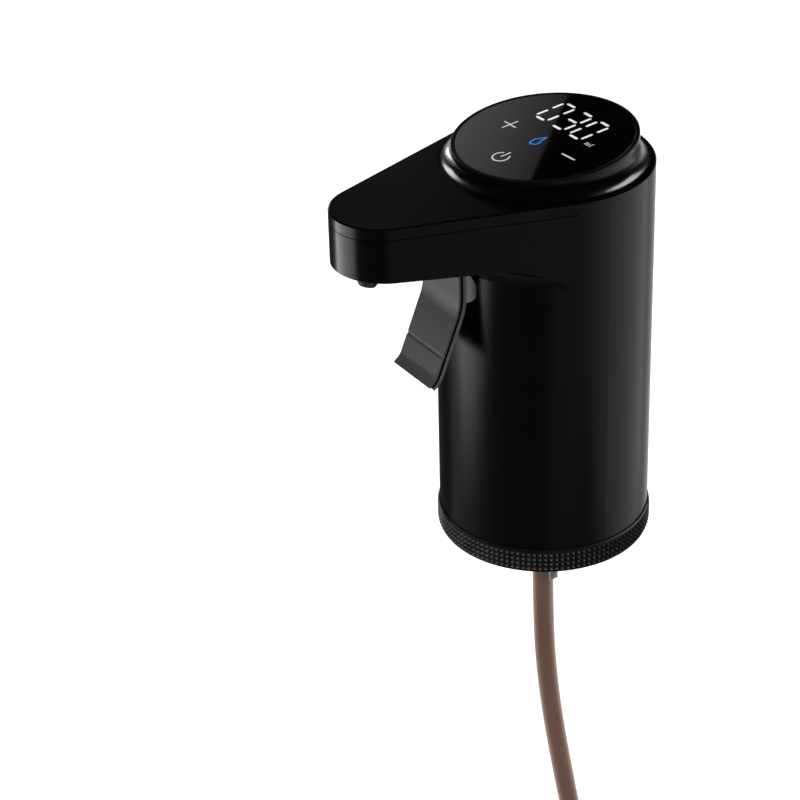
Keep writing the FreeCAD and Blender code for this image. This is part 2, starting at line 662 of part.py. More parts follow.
def usb_outline(clearance, y_low, y_high):
    """Rounded slot of the charging port, along Y."""
    half_w = USB_SIZE[0] / 2.0 + clearance
    half_h = USB_SIZE[1] / 2.0 + clearance
    middle = block(-half_w + half_h, half_w - half_h, y_low, y_high, USB_Z - half_h, USB_Z + half_h)
    ends = []
    for side in (-1, 1):
        x = side * (half_w - half_h)
        ends.append(rod(half_h, (x, y_low, USB_Z), (x, y_high, USB_Z)))
    return fuse([middle] + ends)


def make_top_cover():
    """Flat top with its skirt, the concave collar and the tilted seat for glass and bezel."""
    edge = teardrop(0.0, RIM_Z, TOP_Z)
    skirt = teardrop(0.0, SKIRT_Z, RIM_Z).common(front_half(SKIRT_Z, TOP_Z))
    top = fuse([edge, skirt])
    rim = [e for e in top.Edges if e.BoundBox.ZMin > TOP_Z - 0.01]
    top = top.makeChamfer(COVER_CHAMFER, rim)
    foot_r = COLLAR_R + COLLAR_FLARE_R
    high_z = DISPLAY_Z + 10.0
    start = Vector(foot_r, 0, TOP_Z)
    bend = math.radians(45)
    centre_z = TOP_Z + COLLAR_FLARE_R
    middle = Vector(foot_r - COLLAR_FLARE_R * math.cos(bend), 0, centre_z - COLLAR_FLARE_R * math.sin(bend))
    end = Vector(COLLAR_R, 0, centre_z)
    profile = [
        Part.LineSegment(Vector(0, 0, RIM_Z), Vector(foot_r, 0, RIM_Z)).toShape(),
        Part.LineSegment(Vector(foot_r, 0, RIM_Z), start).toShape(),
        Part.Arc(start, middle, end).toShape(),
        Part.LineSegment(end, Vector(COLLAR_R, 0, high_z)).toShape(),
        Part.LineSegment(Vector(COLLAR_R, 0, high_z), Vector(0, 0, high_z)).toShape(),
        Part.LineSegment(Vector(0, 0, high_z), Vector(0, 0, RIM_Z)).toShape(),
    ]
    collar = Part.Face(Part.Wire(profile)).revolve(Vector(0, 0, 0), Vector(0, 0, 1), 360)
    collar = collar.cut(above_display(BEZEL_T))
    outer = top.fuse(collar)

    skin_z = TOP_Z - BODY_WALL
    inner_plate = teardrop(BODY_WALL + SLIDE, skin_z, RIM_Z)
    rim_outer = BODY_WALL + SLIDE
    rim_inner = rim_outer + LOCATING_RIM_T
    low = SKIRT_Z - LOCATING_RIM_H
    rim_wall = teardrop(rim_outer, low, skin_z).cut(teardrop(rim_inner, low, skin_z))
    arm_cavity = teardrop(BODY_WALL, SKIRT_Z, skin_z).common(front_half(SKIRT_Z, TOP_Z))
    outer = outer.cut(arm_cavity)
    outer = fuse([outer, inner_plate, rim_wall] + snap_ribs())
    board_r = COLLAR_R - COLLAR_WALL
    board_low = BEZEL_T + BOARD_LEVEL + BOARD_T
    shaft = cylinder(board_r - BOARD_LEDGE, low - 1.0, high_z)
    pocket = tilt(cylinder(board_r, -board_low, 1.0))
    return cut(outer, [shaft, pocket])


def snap_ribs():
    """Snap ribs on the outside of the cover's locating rim."""
    ribs = []
    for side in (-1, 1):
        reach = BODY_BORE_R + 0.35
        x_low = min(side * (reach - 3.0), side * reach)
        rib = block(x_low, x_low + 3.0, 3.5, 8.5, SKIRT_Z - 1.1, SKIRT_Z - 0.5)
        ribs.append(rib.common(cylinder(reach, 0, TOP_Z)).cut(cylinder(BODY_BORE_R - 0.8, 0, TOP_Z)))
    return ribs


def make_display():
    """Bezel ring, glass, display board, LED block and touch pads on the tilted seat."""
    ring = pipe(BEZEL_R, BEZEL_R - BEZEL_WIDTH, -BEZEL_T, 0.0)
    outer_edge = [e for e in ring.Edges if e.BoundBox.ZMin > -0.01 and e.BoundBox.XMax > BEZEL_R - 0.1]
    PARTS["display_bezel"] = tilt(ring.makeFillet(BEZEL_EDGE_R, outer_edge))
    glass_r = BEZEL_R - BEZEL_WIDTH - GLASS_GAP
    glass = cylinder(glass_r, -BEZEL_T, -BEZEL_T + GLASS_T)
    glass_edge = [e for e in glass.Edges if e.BoundBox.ZMin > -BEZEL_T + GLASS_T - 0.01]
    PARTS["display_glass"] = tilt(glass.makeChamfer(0.15, glass_edge))
    board_r = COLLAR_R - COLLAR_WALL - 0.1
    board_top = -BEZEL_T - BOARD_LEVEL
    PARTS["display_board"] = tilt(cylinder(board_r, board_top - BOARD_T, board_top))
    led_half_w = board_r - LED_SIDE_MARGIN
    led_back = board_r - LED_BACK_MARGIN
    led = rounded_block(-led_half_w, led_half_w, led_back - LED_DEPTH, led_back, board_top, -BEZEL_T, LED_CORNER_R)
    PARTS["led_block"] = tilt(led)
    pads = []
    key_x = board_r - KEY_SIDE_MARGIN
    row = [(-key_x, -KEY_ROW_Y), (0.0, -KEY_ROW_Y), (key_x + KEY_SHIFT, -KEY_ROW_Y)]
    for x, y in row + [(KEY_SHIFT, -(board_r - POWER_KEY_MARGIN))]:
        pads.append(cylinder(TOUCH_PAD_R, board_top, -BEZEL_T, x, y))
    PARTS["touch_pads"] = tilt(Part.makeCompound(pads))


# ---------------------------------------------------------------------------- base, ring and stopper
def make_knurl_band(z_low, z_high):
    """Closed band whose outside is rows of square pyramids."""
    base_r = RING_TIP_R - KNURL_DEPTH
    inner_r = base_r - 1.2
    step = 2 * math.pi / KNURL_COUNT
    rise = (z_high - z_low) / KNURL_ROWS

    def at(radius, turn, z):
        return Vector(radius * math.cos(turn * step), radius * math.sin(turn * step), z)

    def facet(points):
        return Part.Face(Part.makePolygon(points + [points[0]]))

    faces = []
    for i in range(KNURL_COUNT):
        for row in range(KNURL_ROWS):
            z0 = z_low + row * rise
            z1 = z0 + rise
            tip = at(RING_TIP_R, i + 0.5, (z0 + z1) / 2.0)
            ring = [at(base_r, i, z0), at(base_r, i + 1, z0), at(base_r, i + 1, z1), at(base_r, i, z1)]
            for k in range(4):
                faces.append(facet([ring[k], ring[(k + 1) % 4], tip]))
        for z in (z_low, z_high):
            faces.append(facet([at(base_r, i, z), at(base_r, i + 1, z), at(inner_r, i + 1, z), at(inner_r, i, z)]))
        wall = [at(inner_r, i, z_low), at(inner_r, i + 1, z_low), at(inner_r, i + 1, z_high), at(inner_r, i, z_high)]
        faces.append(facet(wall))
    shell = Part.Shell(faces)
    solid = Part.Solid(shell)
    if solid.Volume < 0:
        solid.reverse()
    return solid


def make_lock_ring():
    """Knurled ring: web on top that runs on the hub, bayonet lugs at the foot."""
    base_r = RING_TIP_R - KNURL_DEPTH
    knurl_low = RING_LOW_Z + RING_FOOT_LIP
    knurl_high = RING_TOP_Z - RING_TOP_LIP
    bore = RETAINER_R + GAP
    wall = pipe(base_r - 0.1, bore, RING_LOW_Z, RING_TOP_Z)
    top_lip = pipe(RING_LIP_R, base_r - 1.0, knurl_high, RING_TOP_Z)
    foot_lip = pipe(base_r + 0.1, base_r - 1.0, RING_LOW_Z, knurl_low)
    web = pipe(bore + 0.5, HUB_R + SLIDE, RING_WEB_LOW_Z, RING_TOP_Z)
    foot = pipe(bore + 0.5, LUG_R + GAP, RING_LOW_Z, RING_LUG_TOP_Z)
    lugs = []
    for i in range(LUG_COUNT):
        lug = sector(LUG_R + 1.0, RING_LOW_Z, RING_LUG_TOP_Z, 90 + i * 360.0 / LUG_COUNT, LUG_ANGLE)
        lugs.append(lug.cut(cylinder(HUB_BORE_R, RING_LOW_Z - 1, 0)))
    plain = fuse([wall, top_lip, foot_lip, web, foot] + lugs)
    return plain.fuse(make_knurl_band(knurl_low, knurl_high))


def make_base():
    """Chassis that closes the body's foot, the retainer under it and their screws."""
    brim = cylinder(BODY_BORE_R - SLIDE, BODY_LOW_Z, BODY_LOW_Z + CHASSIS_BRIM_T)
    hub = cylinder(HUB_R, RETAINER_TOP_Z, BODY_LOW_Z)
    crown = cylinder(HUB_BORE_R + CHASSIS_WALL, BODY_LOW_Z, CHASSIS_TOP_Z)
    chassis = fuse([brim, hub, crown])
    bore_z = CROWN_LOW_Z + O_RING_SECTION
    tools = [
        cylinder(HUB_BORE_R, RETAINER_TOP_Z - 1.0, CROWN_LOW_Z),
        cylinder(SPIGOT_R + O_RING_SECTION, CROWN_LOW_Z - 1.0, bore_z),
        cylinder(SPIGOT_R + SLIDE, CROWN_LOW_Z - 1.0, CHASSIS_TOP_Z),
    ]
    screw_r = HUB_BORE_R + HUB_WALL / 2.0
    retainer = pipe(RETAINER_R, HUB_BORE_R, RETAINER_LOW_Z, RETAINER_TOP_Z)
    small = []
    for i in range(4):
        angle = math.radians(45 + 90 * i)
        x = screw_r * math.cos(angle)
        y = screw_r * math.sin(angle)
        seat = RETAINER_LOW_Z + SCREW_SMALL[2]
        small.append(screw(SCREW_SMALL, 4.0, x, y, seat))
        tools.append(cylinder(SCREW_SMALL[0], RETAINER_TOP_Z - 1.0, seat + 4.0, x, y))
        retainer = retainer.cut(cylinder(SCREW_SMALL[1], RETAINER_LOW_Z - 1.0, seat, x, y))
        retainer = retainer.cut(cylinder(SCREW_SMALL[0], RETAINER_LOW_Z, RETAINER_TOP_Z + 1.0, x, y))
    base = []
    for x, y in base_screw_places():
        seat = BODY_LOW_Z + SCREW_SMALL[2]
        base.append(screw(SCREW_SMALL, BASE_SCREW_L, x, y, seat))
        tools.append(cylinder(SCREW_SMALL[1], BODY_LOW_Z - 1.0, seat, x, y))
        tools.append(cylinder(SCREW_SMALL[0], BODY_LOW_Z, seat + BASE_SCREW_L, x, y))
    for x, y in pump_screw_places():
        tools.append(cylinder(SCREW_PUMP[0], CROWN_LOW_Z + 0.3, CHASSIS_TOP_Z + 1.0, x, y))
    for x in (-1, 1):
        tools.append(cylinder(SCREW_SMALL[0], CROWN_LOW_Z + 0.3, CHASSIS_TOP_Z + 1.0, x * CRADLE_FOOT_X, BATTERY_Y))
    PARTS["base_chassis"] = cut(chassis, tools)
    PARTS["ring_retainer"] = retainer
    PARTS["retainer_screws"] = Part.makeCompound(small)
    PARTS["base_screws"] = Part.makeCompound(base)


def make_stopper():
    """Carrier with its bayonet lugs, lip gasket, silicone seal, core, O-ring and air valve."""
    carrier = cylinder(CARRIER_R, RING_LOW_Z + CARRIER_RECESS, CARRIER_TOP_Z)
    lugs = []
    for i in range(LUG_COUNT):
        direction = 90 + i * 360.0 / LUG_COUNT
        lug = sector(LUG_R, CARRIER_LUG_LOW_Z, CARRIER_LUG_LOW_Z + CARRIER_LUG_T, direction, LUG_ANGLE)
        lugs.append(lug.cut(cylinder(CARRIER_R - 0.5, -SOCKET_DEPTH, CARRIER_TOP_Z)))
    carrier = fuse([carrier] + lugs)
    carrier = carrier.cut(cylinder(SOCKET_R, RING_LOW_Z - 1.0, SEAL_FLANGE_T))
    PARTS["stopper_carrier"] = carrier.cut(cylinder(CORE_R, 0, CARRIER_TOP_Z + 1.0))

    PARTS["lip_gasket"] = pipe(SEAL_FLANGE_R, SEAL_LAND_R + GASKET_BORE_GAP, 0.0, SEAL_FLANGE_T)
    outline = [(CORE_R, SEAL_FLANGE_T), (SEAL_NECK_R, SEAL_FLANGE_T), (SEAL_NECK_R, 0.0), (SEAL_LAND_R, 0.0)]
    outline.append((SEAL_LAND_R, -SEAL_LAND_L))
    outline.append((SEAL_ROOT_R, -SEAL_LAND_L - 0.6))
    ribs = int((SEAL_LENGTH - SEAL_LAND_L - 2.0) / SEAL_RIB_STEP)
    for i in range(ribs):
        z = -SEAL_LAND_L - SEAL_RIB_STEP * (i + 0.55)
        reach = SEAL_RIB_R - SEAL_RIB_TAPER * i
        outline.append((SEAL_ROOT_R, z))
        outline.append((reach, z - 0.35))
        outline.append((reach, z - 0.75))
        outline.append((SEAL_ROOT_R, z - 1.6))
    outline.append((SEAL_ROOT_R, -SEAL_LENGTH + 0.8))
    outline.append((SEAL_ROOT_R - 0.8, -SEAL_LENGTH))
    outline.append((CORE_R, -SEAL_LENGTH))
    PARTS["stopper_seal"] = revolve(outline)

    core = fuse([
        cylinder(CORE_R, -SEAL_LENGTH, CARRIER_TOP_Z),
        cylinder(CORE_FLANGE_R, CORE_LOW_Z, -SEAL_LENGTH),
        cylinder(BARB_R, CORE_LOW_Z - BARB_L, CORE_LOW_Z),
        cylinder(SPIGOT_R, CARRIER_TOP_Z, CHASSIS_TOP_Z - 0.1),
    ])
    core = core.cut(cylinder(CORE_BORE_R, CORE_LOW_Z - BARB_L - 1.0, CHASSIS_TOP_Z + 1.0))
    PARTS["stopper_core"] = core.cut(cylinder(AIR_BORE_R, CORE_LOW_Z - 1.0, CARRIER_TOP_Z + 1.0, AIR_BORE_X))
    ring_z = CROWN_LOW_Z + O_RING_SECTION / 2.0
    major = SPIGOT_R + O_RING_SECTION / 2.0
    PARTS["inlet_o_ring"] = Part.makeTorus(major, O_RING_SECTION / 2.0, Vector(0, 0, ring_z))

    plug = cylinder(AIR_BORE_R, CORE_LOW_Z, CORE_LOW_Z + 2.0, AIR_BORE_X)
    collar = cylinder(AIR_VALVE_R, CORE_LOW_Z - 1.2, CORE_LOW_Z, AIR_BORE_X)
    round_wire = Part.Wire(Part.Circle(Vector(AIR_BORE_X, 0, CORE_LOW_Z - 1.2), Vector(0, 0, 1), 1.3).toShape())
    lip_z = CORE_LOW_Z - AIR_VALVE_L
    lip_points = [(-0.3, -1.2), (0.3, -1.2), (0.3, 1.2), (-0.3, 1.2), (-0.3, -1.2)]
    lip_wire = Part.makePolygon([Vector(AIR_BORE_X + x, y, lip_z) for x, y in lip_points])
    lips = Part.makeLoft([round_wire, lip_wire], True)
    valve = fuse([plug, collar, lips])
    PARTS["air_valve"] = valve.cut(cylinder(0.45, CORE_LOW_Z - AIR_VALVE_L + 1.0, CORE_LOW_Z + 3.0, AIR_BORE_X))


def make_dip_tube():
    """Hose that hangs from the stopper into the bottle."""
    points = [Vector(0, y, z) for y, z in DIP_TUBE_ROUTE]
    radii = []
    for i in range(1, len(points) - 1):
        before = points[i] - points[i - 1]
        after = points[i + 1] - points[i]
        half = before.getAngle(after) / 2.0
        radii.append(0.45 * min(before.Length, after.Length) / math.tan(half))
    path = bent_path(points, radii)
    start = points[0]
    direction = points[1] - points[0]
    tube = swept(path, DIP_TUBE_R, start, direction)
    bore = swept(path, BARB_R, start, direction)
    print("dip tube length %.1f, radii %s" % (path.Length, ["%.0f" % r for r in radii]))
    PARTS["dip_tube"] = tube.cut(bore)
    section = math.pi * (DIP_TUBE_R ** 2 - BARB_R ** 2)
    print("dip tube volume over section times length: %.4f" % (PARTS["dip_tube"].Volume / section / path.Length))


# ---------------------------------------------------------------------------- pump and motor
def pump_screw_places():
    """The four through bolts of the pump."""
    rows = (PUMP_FRONT_Y + 3.3, PUMP_BACK_Y - 3.3)
    return [(x, y) for x in (-PUMP_SCREW_X, PUMP_SCREW_X) for y in rows]


def pump_plan(z_low, z_high):
    """Outline shared by pump body, pump cover and motor mount."""
    slab = rounded_block(-PUMP_HALF_W, PUMP_HALF_W, PUMP_FRONT_Y, PUMP_BACK_Y, z_low, z_high, PUMP_CORNER_R)
    return fuse([slab, cylinder(PUMP_FRONT_R, z_low, z_high, 0, PUMP_Y)])


def gear(phase_deg, y, bore_r):
    """Spur gear of the pump, its first tooth centred on phase_deg from +X."""
    base_r = GEAR_PITCH_R * math.cos(math.radians(GEAR_PRESSURE_DEG))
    root_r = GEAR_PITCH_R - GEAR_DEDENDUM * GEAR_MODULE

    def involute(radius):
        pressure = math.acos(min(1.0, base_r / radius))
        return math.tan(pressure) - pressure

    half_tooth = math.pi / (2 * GEAR_TEETH) - GEAR_BACKLASH / (4 * GEAR_PITCH_R)
    at_pitch = involute(GEAR_PITCH_R)
    flank = [(root_r, half_tooth + at_pitch)]
    steps = 4
    for i in range(steps + 1):
        radius = base_r + (GEAR_TIP_R - base_r) * i / steps
        flank.append((radius, half_tooth + at_pitch - involute(radius)))
    outline = []
    for tooth in range(GEAR_TEETH):
        centre = math.radians(phase_deg) + 2 * math.pi * tooth / GEAR_TEETH
        for radius, angle in flank:
            outline.append((radius, centre - angle))
        for radius, angle in reversed(flank):
            outline.append((radius, centre + angle))
    z = PUMP_FLOOR_Z + RUN
    points = [Vector(r * math.cos(a), y + r * math.sin(a), z) for r, a in outline]
    face = Part.Face(Part.makePolygon(points + [points[0]]))
    return face.extrude(Vector(0, 0, GEAR_T)).cut(cylinder(bore_r, z - 1.0, z + GEAR_T + 1.0, 0, y))


def make_pump():
    """Pump body, cover, gears, idler shaft, seal, motor mount and bolts."""
    bore_top = PUMP_FLOOR_Z - 1.8
    channel_z = CHASSIS_TOP_Z + 1.4
    body = pump_plan(CHASSIS_TOP_Z, PUMP_SPLIT_Z)
    chamber_mid = (PUMP_FLOOR_Z + PUMP_SPLIT_Z) / 2.0
    tools = [
        cylinder(CHAMBER_R, PUMP_FLOOR_Z, PUMP_SPLIT_Z, 0, PUMP_Y),
        cylinder(CHAMBER_R, PUMP_FLOOR_Z, PUMP_SPLIT_Z, 0, IDLER_Y),
        cylinder(PORT_POCKET_R, PUMP_FLOOR_Z, PUMP_SPLIT_Z, -5.0, MESH_Y),
        cylinder(PORT_POCKET_R, PUMP_FLOOR_Z, PUMP_SPLIT_Z, 5.0, MESH_Y),
        cylinder(SHAFT_R + RUN, bore_top, PUMP_FLOOR_Z, 0, PUMP_Y),
        cylinder(SHAFT_R, bore_top, PUMP_FLOOR_Z, 0, IDLER_Y),
        cylinder(CORE_BORE_R, CHASSIS_TOP_Z, channel_z + PORT_R, 0, 0),
        rod(PORT_R, (0, 0, channel_z), (-5.0, MESH_Y, channel_z)),
        cylinder(PORT_R, channel_z, PUMP_FLOOR_Z, -5.0, MESH_Y),
        rod(PORT_R, (5.0, MESH_Y, chamber_mid), (OUTLET_X, MESH_Y, chamber_mid)),
        cylinder(PORT_R, chamber_mid, PUMP_SPLIT_Z, OUTLET_X, MESH_Y),
    ]
    cover = pump_plan(PUMP_SPLIT_Z, PUMP_TOP_Z)
    barb_top = PUMP_TOP_Z + 7.0
    cover = fuse([cover, cylinder(HOSE_BORE_R, PUMP_TOP_Z, barb_top, OUTLET_X, MESH_Y)])
    cover_tools = [
        cylinder(SHAFT_R + RUN, PUMP_SPLIT_Z, PUMP_TOP_Z, 0, PUMP_Y),
        cylinder(3.0, PUMP_TOP_Z - 2.0, PUMP_TOP_Z, 0, PUMP_Y),
        cylinder(SHAFT_R, PUMP_SPLIT_Z, PUMP_SPLIT_Z + 2.0, 0, IDLER_Y),
        cylinder(PORT_R, PUMP_SPLIT_Z, barb_top, OUTLET_X, MESH_Y),
    ]
    mount = pump_plan(PUMP_TOP_Z, MOUNT_TOP_Z)
    mount_tools = [
        cylinder(MOTOR_BOSS_R + SLIDE, PUMP_TOP_Z, MOUNT_TOP_Z, 0, PUMP_Y),
        cylinder(HOSE_R + GAP, PUMP_TOP_Z, MOUNT_TOP_Z, OUTLET_X, MESH_Y),
    ]
    bolts = []
    for x, y in pump_screw_places():
        tools.append(cylinder(SCREW_PUMP[0], CHASSIS_TOP_Z, PUMP_SPLIT_Z, x, y))
        cover_tools.append(cylinder(SCREW_PUMP[0], PUMP_SPLIT_Z, PUMP_TOP_Z, x, y))
        mount_tools.append(cylinder(SCREW_PUMP[0], PUMP_TOP_Z, MOUNT_TOP_Z, x, y))
        bolts.append(screw(SCREW_PUMP, MOUNT_TOP_Z - CROWN_LOW_Z - 0.6, x, y, MOUNT_TOP_Z, up=False))
    motor_bolts = []
    for side in (-1, 1):
        x = side * MOTOR_SCREW_X
        seat = MOUNT_TOP_Z - 1.6
        mount_tools.append(cylinder(SCREW_MOTOR[1], PUMP_TOP_Z, seat, x, PUMP_Y))
        mount_tools.append(cylinder(SCREW_MOTOR[0], seat, MOUNT_TOP_Z, x, PUMP_Y))
        motor_bolts.append(screw(SCREW_MOTOR, 3.0, x, PUMP_Y, seat))
    PARTS["pump_body"] = cut(body, tools)
    PARTS["pump_cover"] = cut(cover, cover_tools)
    PARTS["motor_mount"] = cut(mount, mount_tools)
    PARTS["pump_bolts"] = Part.makeCompound(bolts)
    PARTS["motor_bolts"] = Part.makeCompound(motor_bolts)
    PARTS["shaft_seal"] = pipe(SHAFT_SEAL_R, SHAFT_R + RUN, PUMP_TOP_Z - SHAFT_SEAL_T, PUMP_TOP_Z, 0, PUMP_Y)
    PARTS["idler_shaft"] = cylinder(SHAFT_R, bore_top, PUMP_SPLIT_Z + 2.0, 0, IDLER_Y)
    half_pitch = 180.0 / GEAR_TEETH
    PARTS["drive_gear"] = gear(90.0, PUMP_Y, SHAFT_R)
    PARTS["idler_gear"] = gear(-90.0 + half_pitch, IDLER_Y, SHAFT_R + RUN)


def make_motor():
    """Motor can, end cap, shaft and rotor."""
    low = MOUNT_TOP_Z
    can_top = MOTOR_TOP_Z - MOTOR_CAP_T
    can = cylinder(MOTOR_R, low, can_top, 0, PUMP_Y)
    can = can.cut(cylinder(MOTOR_R - MOTOR_WALL, low + MOTOR_FLOOR_T, can_top, 0, PUMP_Y))
    boss = cylinder(MOTOR_BOSS_R, low - MOTOR_BOSS_H, low, 0, PUMP_Y)
    can = fuse([can, boss])
    holes = [cylinder(SHAFT_R + RUN, low - 2.0, low + 2.0, 0, PUMP_Y)]
    for side in (-1, 1):
        holes.append(cylinder(SCREW_MOTOR[0], low, low + MOTOR_FLOOR_T, side * MOTOR_SCREW_X, PUMP_Y))
    PARTS["motor_can"] = cut(can, holes)
    half_w = TERMINAL_W / 2.0
    terminals = []
    for side in (-1, 1):
        x = side * TERMINAL_X - TERMINAL_T / 2.0
        blade = block(x, x + TERMINAL_T, PUMP_Y - half_w, PUMP_Y + half_w, MOTOR_TOP_Z, MOTOR_TOP_Z + TERMINAL_H)
        terminals.append(blade)
    end_cap = fuse([
        cylinder(MOTOR_R, can_top, MOTOR_TOP_Z, 0, PUMP_Y),
        cylinder(CAP_HUB_R, MOTOR_TOP_Z, MOTOR_TOP_Z + CAP_HUB_H, 0, PUMP_Y),
    ] + terminals)
    PARTS["motor_end_cap"] = end_cap.cut(cylinder(SHAFT_R + RUN, can_top, MOTOR_TOP_Z + 1.5, 0, PUMP_Y))
    PARTS["motor_shaft"] = cylinder(SHAFT_R, PUMP_FLOOR_Z - 1.6, MOTOR_TOP_Z + 1.2, 0, PUMP_Y)
    rotor = cylinder(ROTOR_R, low + ROTOR_END_GAP, can_top - ROTOR_END_GAP, 0, PUMP_Y)
    slots = [cylinder(SHAFT_R, low, MOTOR_TOP_Z, 0, PUMP_Y)]
    for i in range(3):
        angle = math.radians(120 * i)
        x = ROTOR_R * math.cos(angle)
        y = PUMP_Y + ROTOR_R * math.sin(angle)
        slots.append(cylinder(ROTOR_SLOT_R, low, MOTOR_TOP_Z, x, y))
    PARTS["motor_rotor"] = cut(rotor, slots)


# ---------------------------------------------------------------------------- battery and boards
def chip(board_back, place, size):
    """Chip on the back of the control board."""
    x, z = place
    width, thickness, height = size
    return block(x, x + width, board_back, board_back + thickness, z, z + height)


def make_power():
    """Battery, its cradle and tabs, the control board with its parts and the charging port."""
    top = BATTERY_LOW_Z + BATTERY_LENGTH
    PARTS["battery_cell"] = fuse([
        cylinder(BATTERY_R, BATTERY_LOW_Z, top - BATTERY_NUB, 0, BATTERY_Y),
        cylinder(BATTERY_NUB_R, top - BATTERY_NUB, top, 0, BATTERY_Y),
    ])
    PARTS["battery_tabs"] = Part.makeCompound([
        cylinder(TAB_FOOT_R, BATTERY_LOW_Z - TAB_T, BATTERY_LOW_Z, 0, BATTERY_Y),
        cylinder(BATTERY_NUB_R, top, top + TAB_T, 0, BATTERY_Y),
    ])
    inner = BATTERY_R + CRADLE_FIT
    outer = CRADLE_R
    low = BATTERY_LOW_Z - TAB_T
    high = top + TAB_T
    shell = cylinder(outer, low - CRADLE_END_T, high + CRADLE_END_T, 0, BATTERY_Y)
    front = shell.common(block(-outer, outer, BATTERY_Y - outer, BATTERY_Y, 0, TOP_Z))
    sides = block(-outer, outer, BATTERY_Y, BOARD_Y, low - CRADLE_END_T, high + CRADLE_END_T)
    hollow = cylinder(inner, low, high, 0, BATTERY_Y)
    open_back = block(-inner, inner, BATTERY_Y, BOARD_Y, low, high)
    half_window = BATTERY_R - CRADLE_WINDOW_SIDE
    window_low = low + CRADLE_WINDOW_END
    window_high = high - CRADLE_WINDOW_END
    window = block(-half_window, half_window, BATTERY_Y - outer, BATTERY_Y, window_low, window_high)
    cradle = cut(fuse([front, sides]), [hollow, open_back, window])
    feet = []
    pegs = []
    for side in (-1, 1):
        x = side * CRADLE_FOOT_X
        y = BATTERY_Y
        half = CRADLE_FOOT_HALF
        foot = rounded_block(x - half, x + half, y - half, y + half, CHASSIS_TOP_Z, low, 0.8)
        feet.append(foot.cut(cylinder(SCREW_SMALL[0], CHASSIS_TOP_Z, CHASSIS_TOP_Z + 4.0, x, y)))
        pegs.append(cylinder(SCREW_SMALL[0], CROWN_LOW_Z + 0.3, CHASSIS_TOP_Z + 4.0, x, y))
    PARTS["battery_cradle"] = fuse([cradle] + feet)
    PARTS["cradle_pegs"] = Part.makeCompound(pegs)

    back = BOARD_Y + BOARD_T
    PARTS["control_board"] = block(-BOARD_HALF_W, BOARD_HALF_W, BOARD_Y, back, CHASSIS_TOP_Z + 1.0, BOARD_TOP_Z)
    PARTS["board_components"] = Part.makeCompound([chip(back, place, size) for place, size in BOARD_CHIPS])
    depth = BODY_R - 0.25
    shell = usb_outline(0.0, back, depth).cut(usb_outline(-0.3, back + 0.6, depth + 1.0))
    tongue = block(-3.2, 3.2, back + 0.5, depth - 0.6, USB_Z - 0.35, USB_Z + 0.35)
    PARTS["charging_port"] = fuse([shell, tongue])

    ribbon_y = BOARD_Y - RIBBON_T
    upper_y = ribbon_y - RIBBON_SETBACK
    upper = [(upper_y, DISPLAY_Z), (upper_y, BOARD_TOP_Z + 9.0)]
    corners = upper + [(ribbon_y, BOARD_TOP_Z + 3.0), (ribbon_y, BOARD_TOP_Z - 4.0)]
    ribbon = sheet(corners, [2.0, 2.0], 0.0, RIBBON_T, -RIBBON_HALF_W, RIBBON_HALF_W)
    PARTS["display_ribbon"] = ribbon.cut(above_display(BEZEL_T + BOARD_LEVEL + BOARD_T))


# ---------------------------------------------------------------------------- lever, switch and bracket
def ear_lug(x_low, front_y):
    """Lobe of the lever that narrows to a neck where it enters the body and widens again to the pivot."""
    neck_y = PIVOT_Y - EAR_NECK_REACH
    outline = [
        (front_y, EAR_LOW_Z),
        (neck_y - 1.6, EAR_LOW_Z),
        (neck_y, PIVOT_Z - EAR_NECK_BELOW),
        (PIVOT_Y, PIVOT_Z - PIVOT_HUB_R),
        (PIVOT_Y, PIVOT_Z + PIVOT_HUB_R),
        (neck_y, PIVOT_Z - EAR_NECK_TOP_BELOW),
        (PIVOT_Y - EAR_TOP_REACH, EAR_TOP_Z),
        (front_y, EAR_TOP_Z),
    ]
    points = [Vector(x_low, y, z) for y, z in outline]
    lug = Part.Face(Part.makePolygon(points + [points[0]])).extrude(Vector(EAR_T, 0, 0))
    lower = []
    for edge in lug.Edges:
        box = edge.BoundBox
        across = box.XLength > EAR_T - 0.01
        if across and box.ZMax < PIVOT_Z - EAR_NECK_BELOW + 0.01 and front_y + 0.1 < box.YMin < neck_y + 0.1:
            lower.append(edge)
    return lug.makeFillet(EAR_EDGE_R, lower)


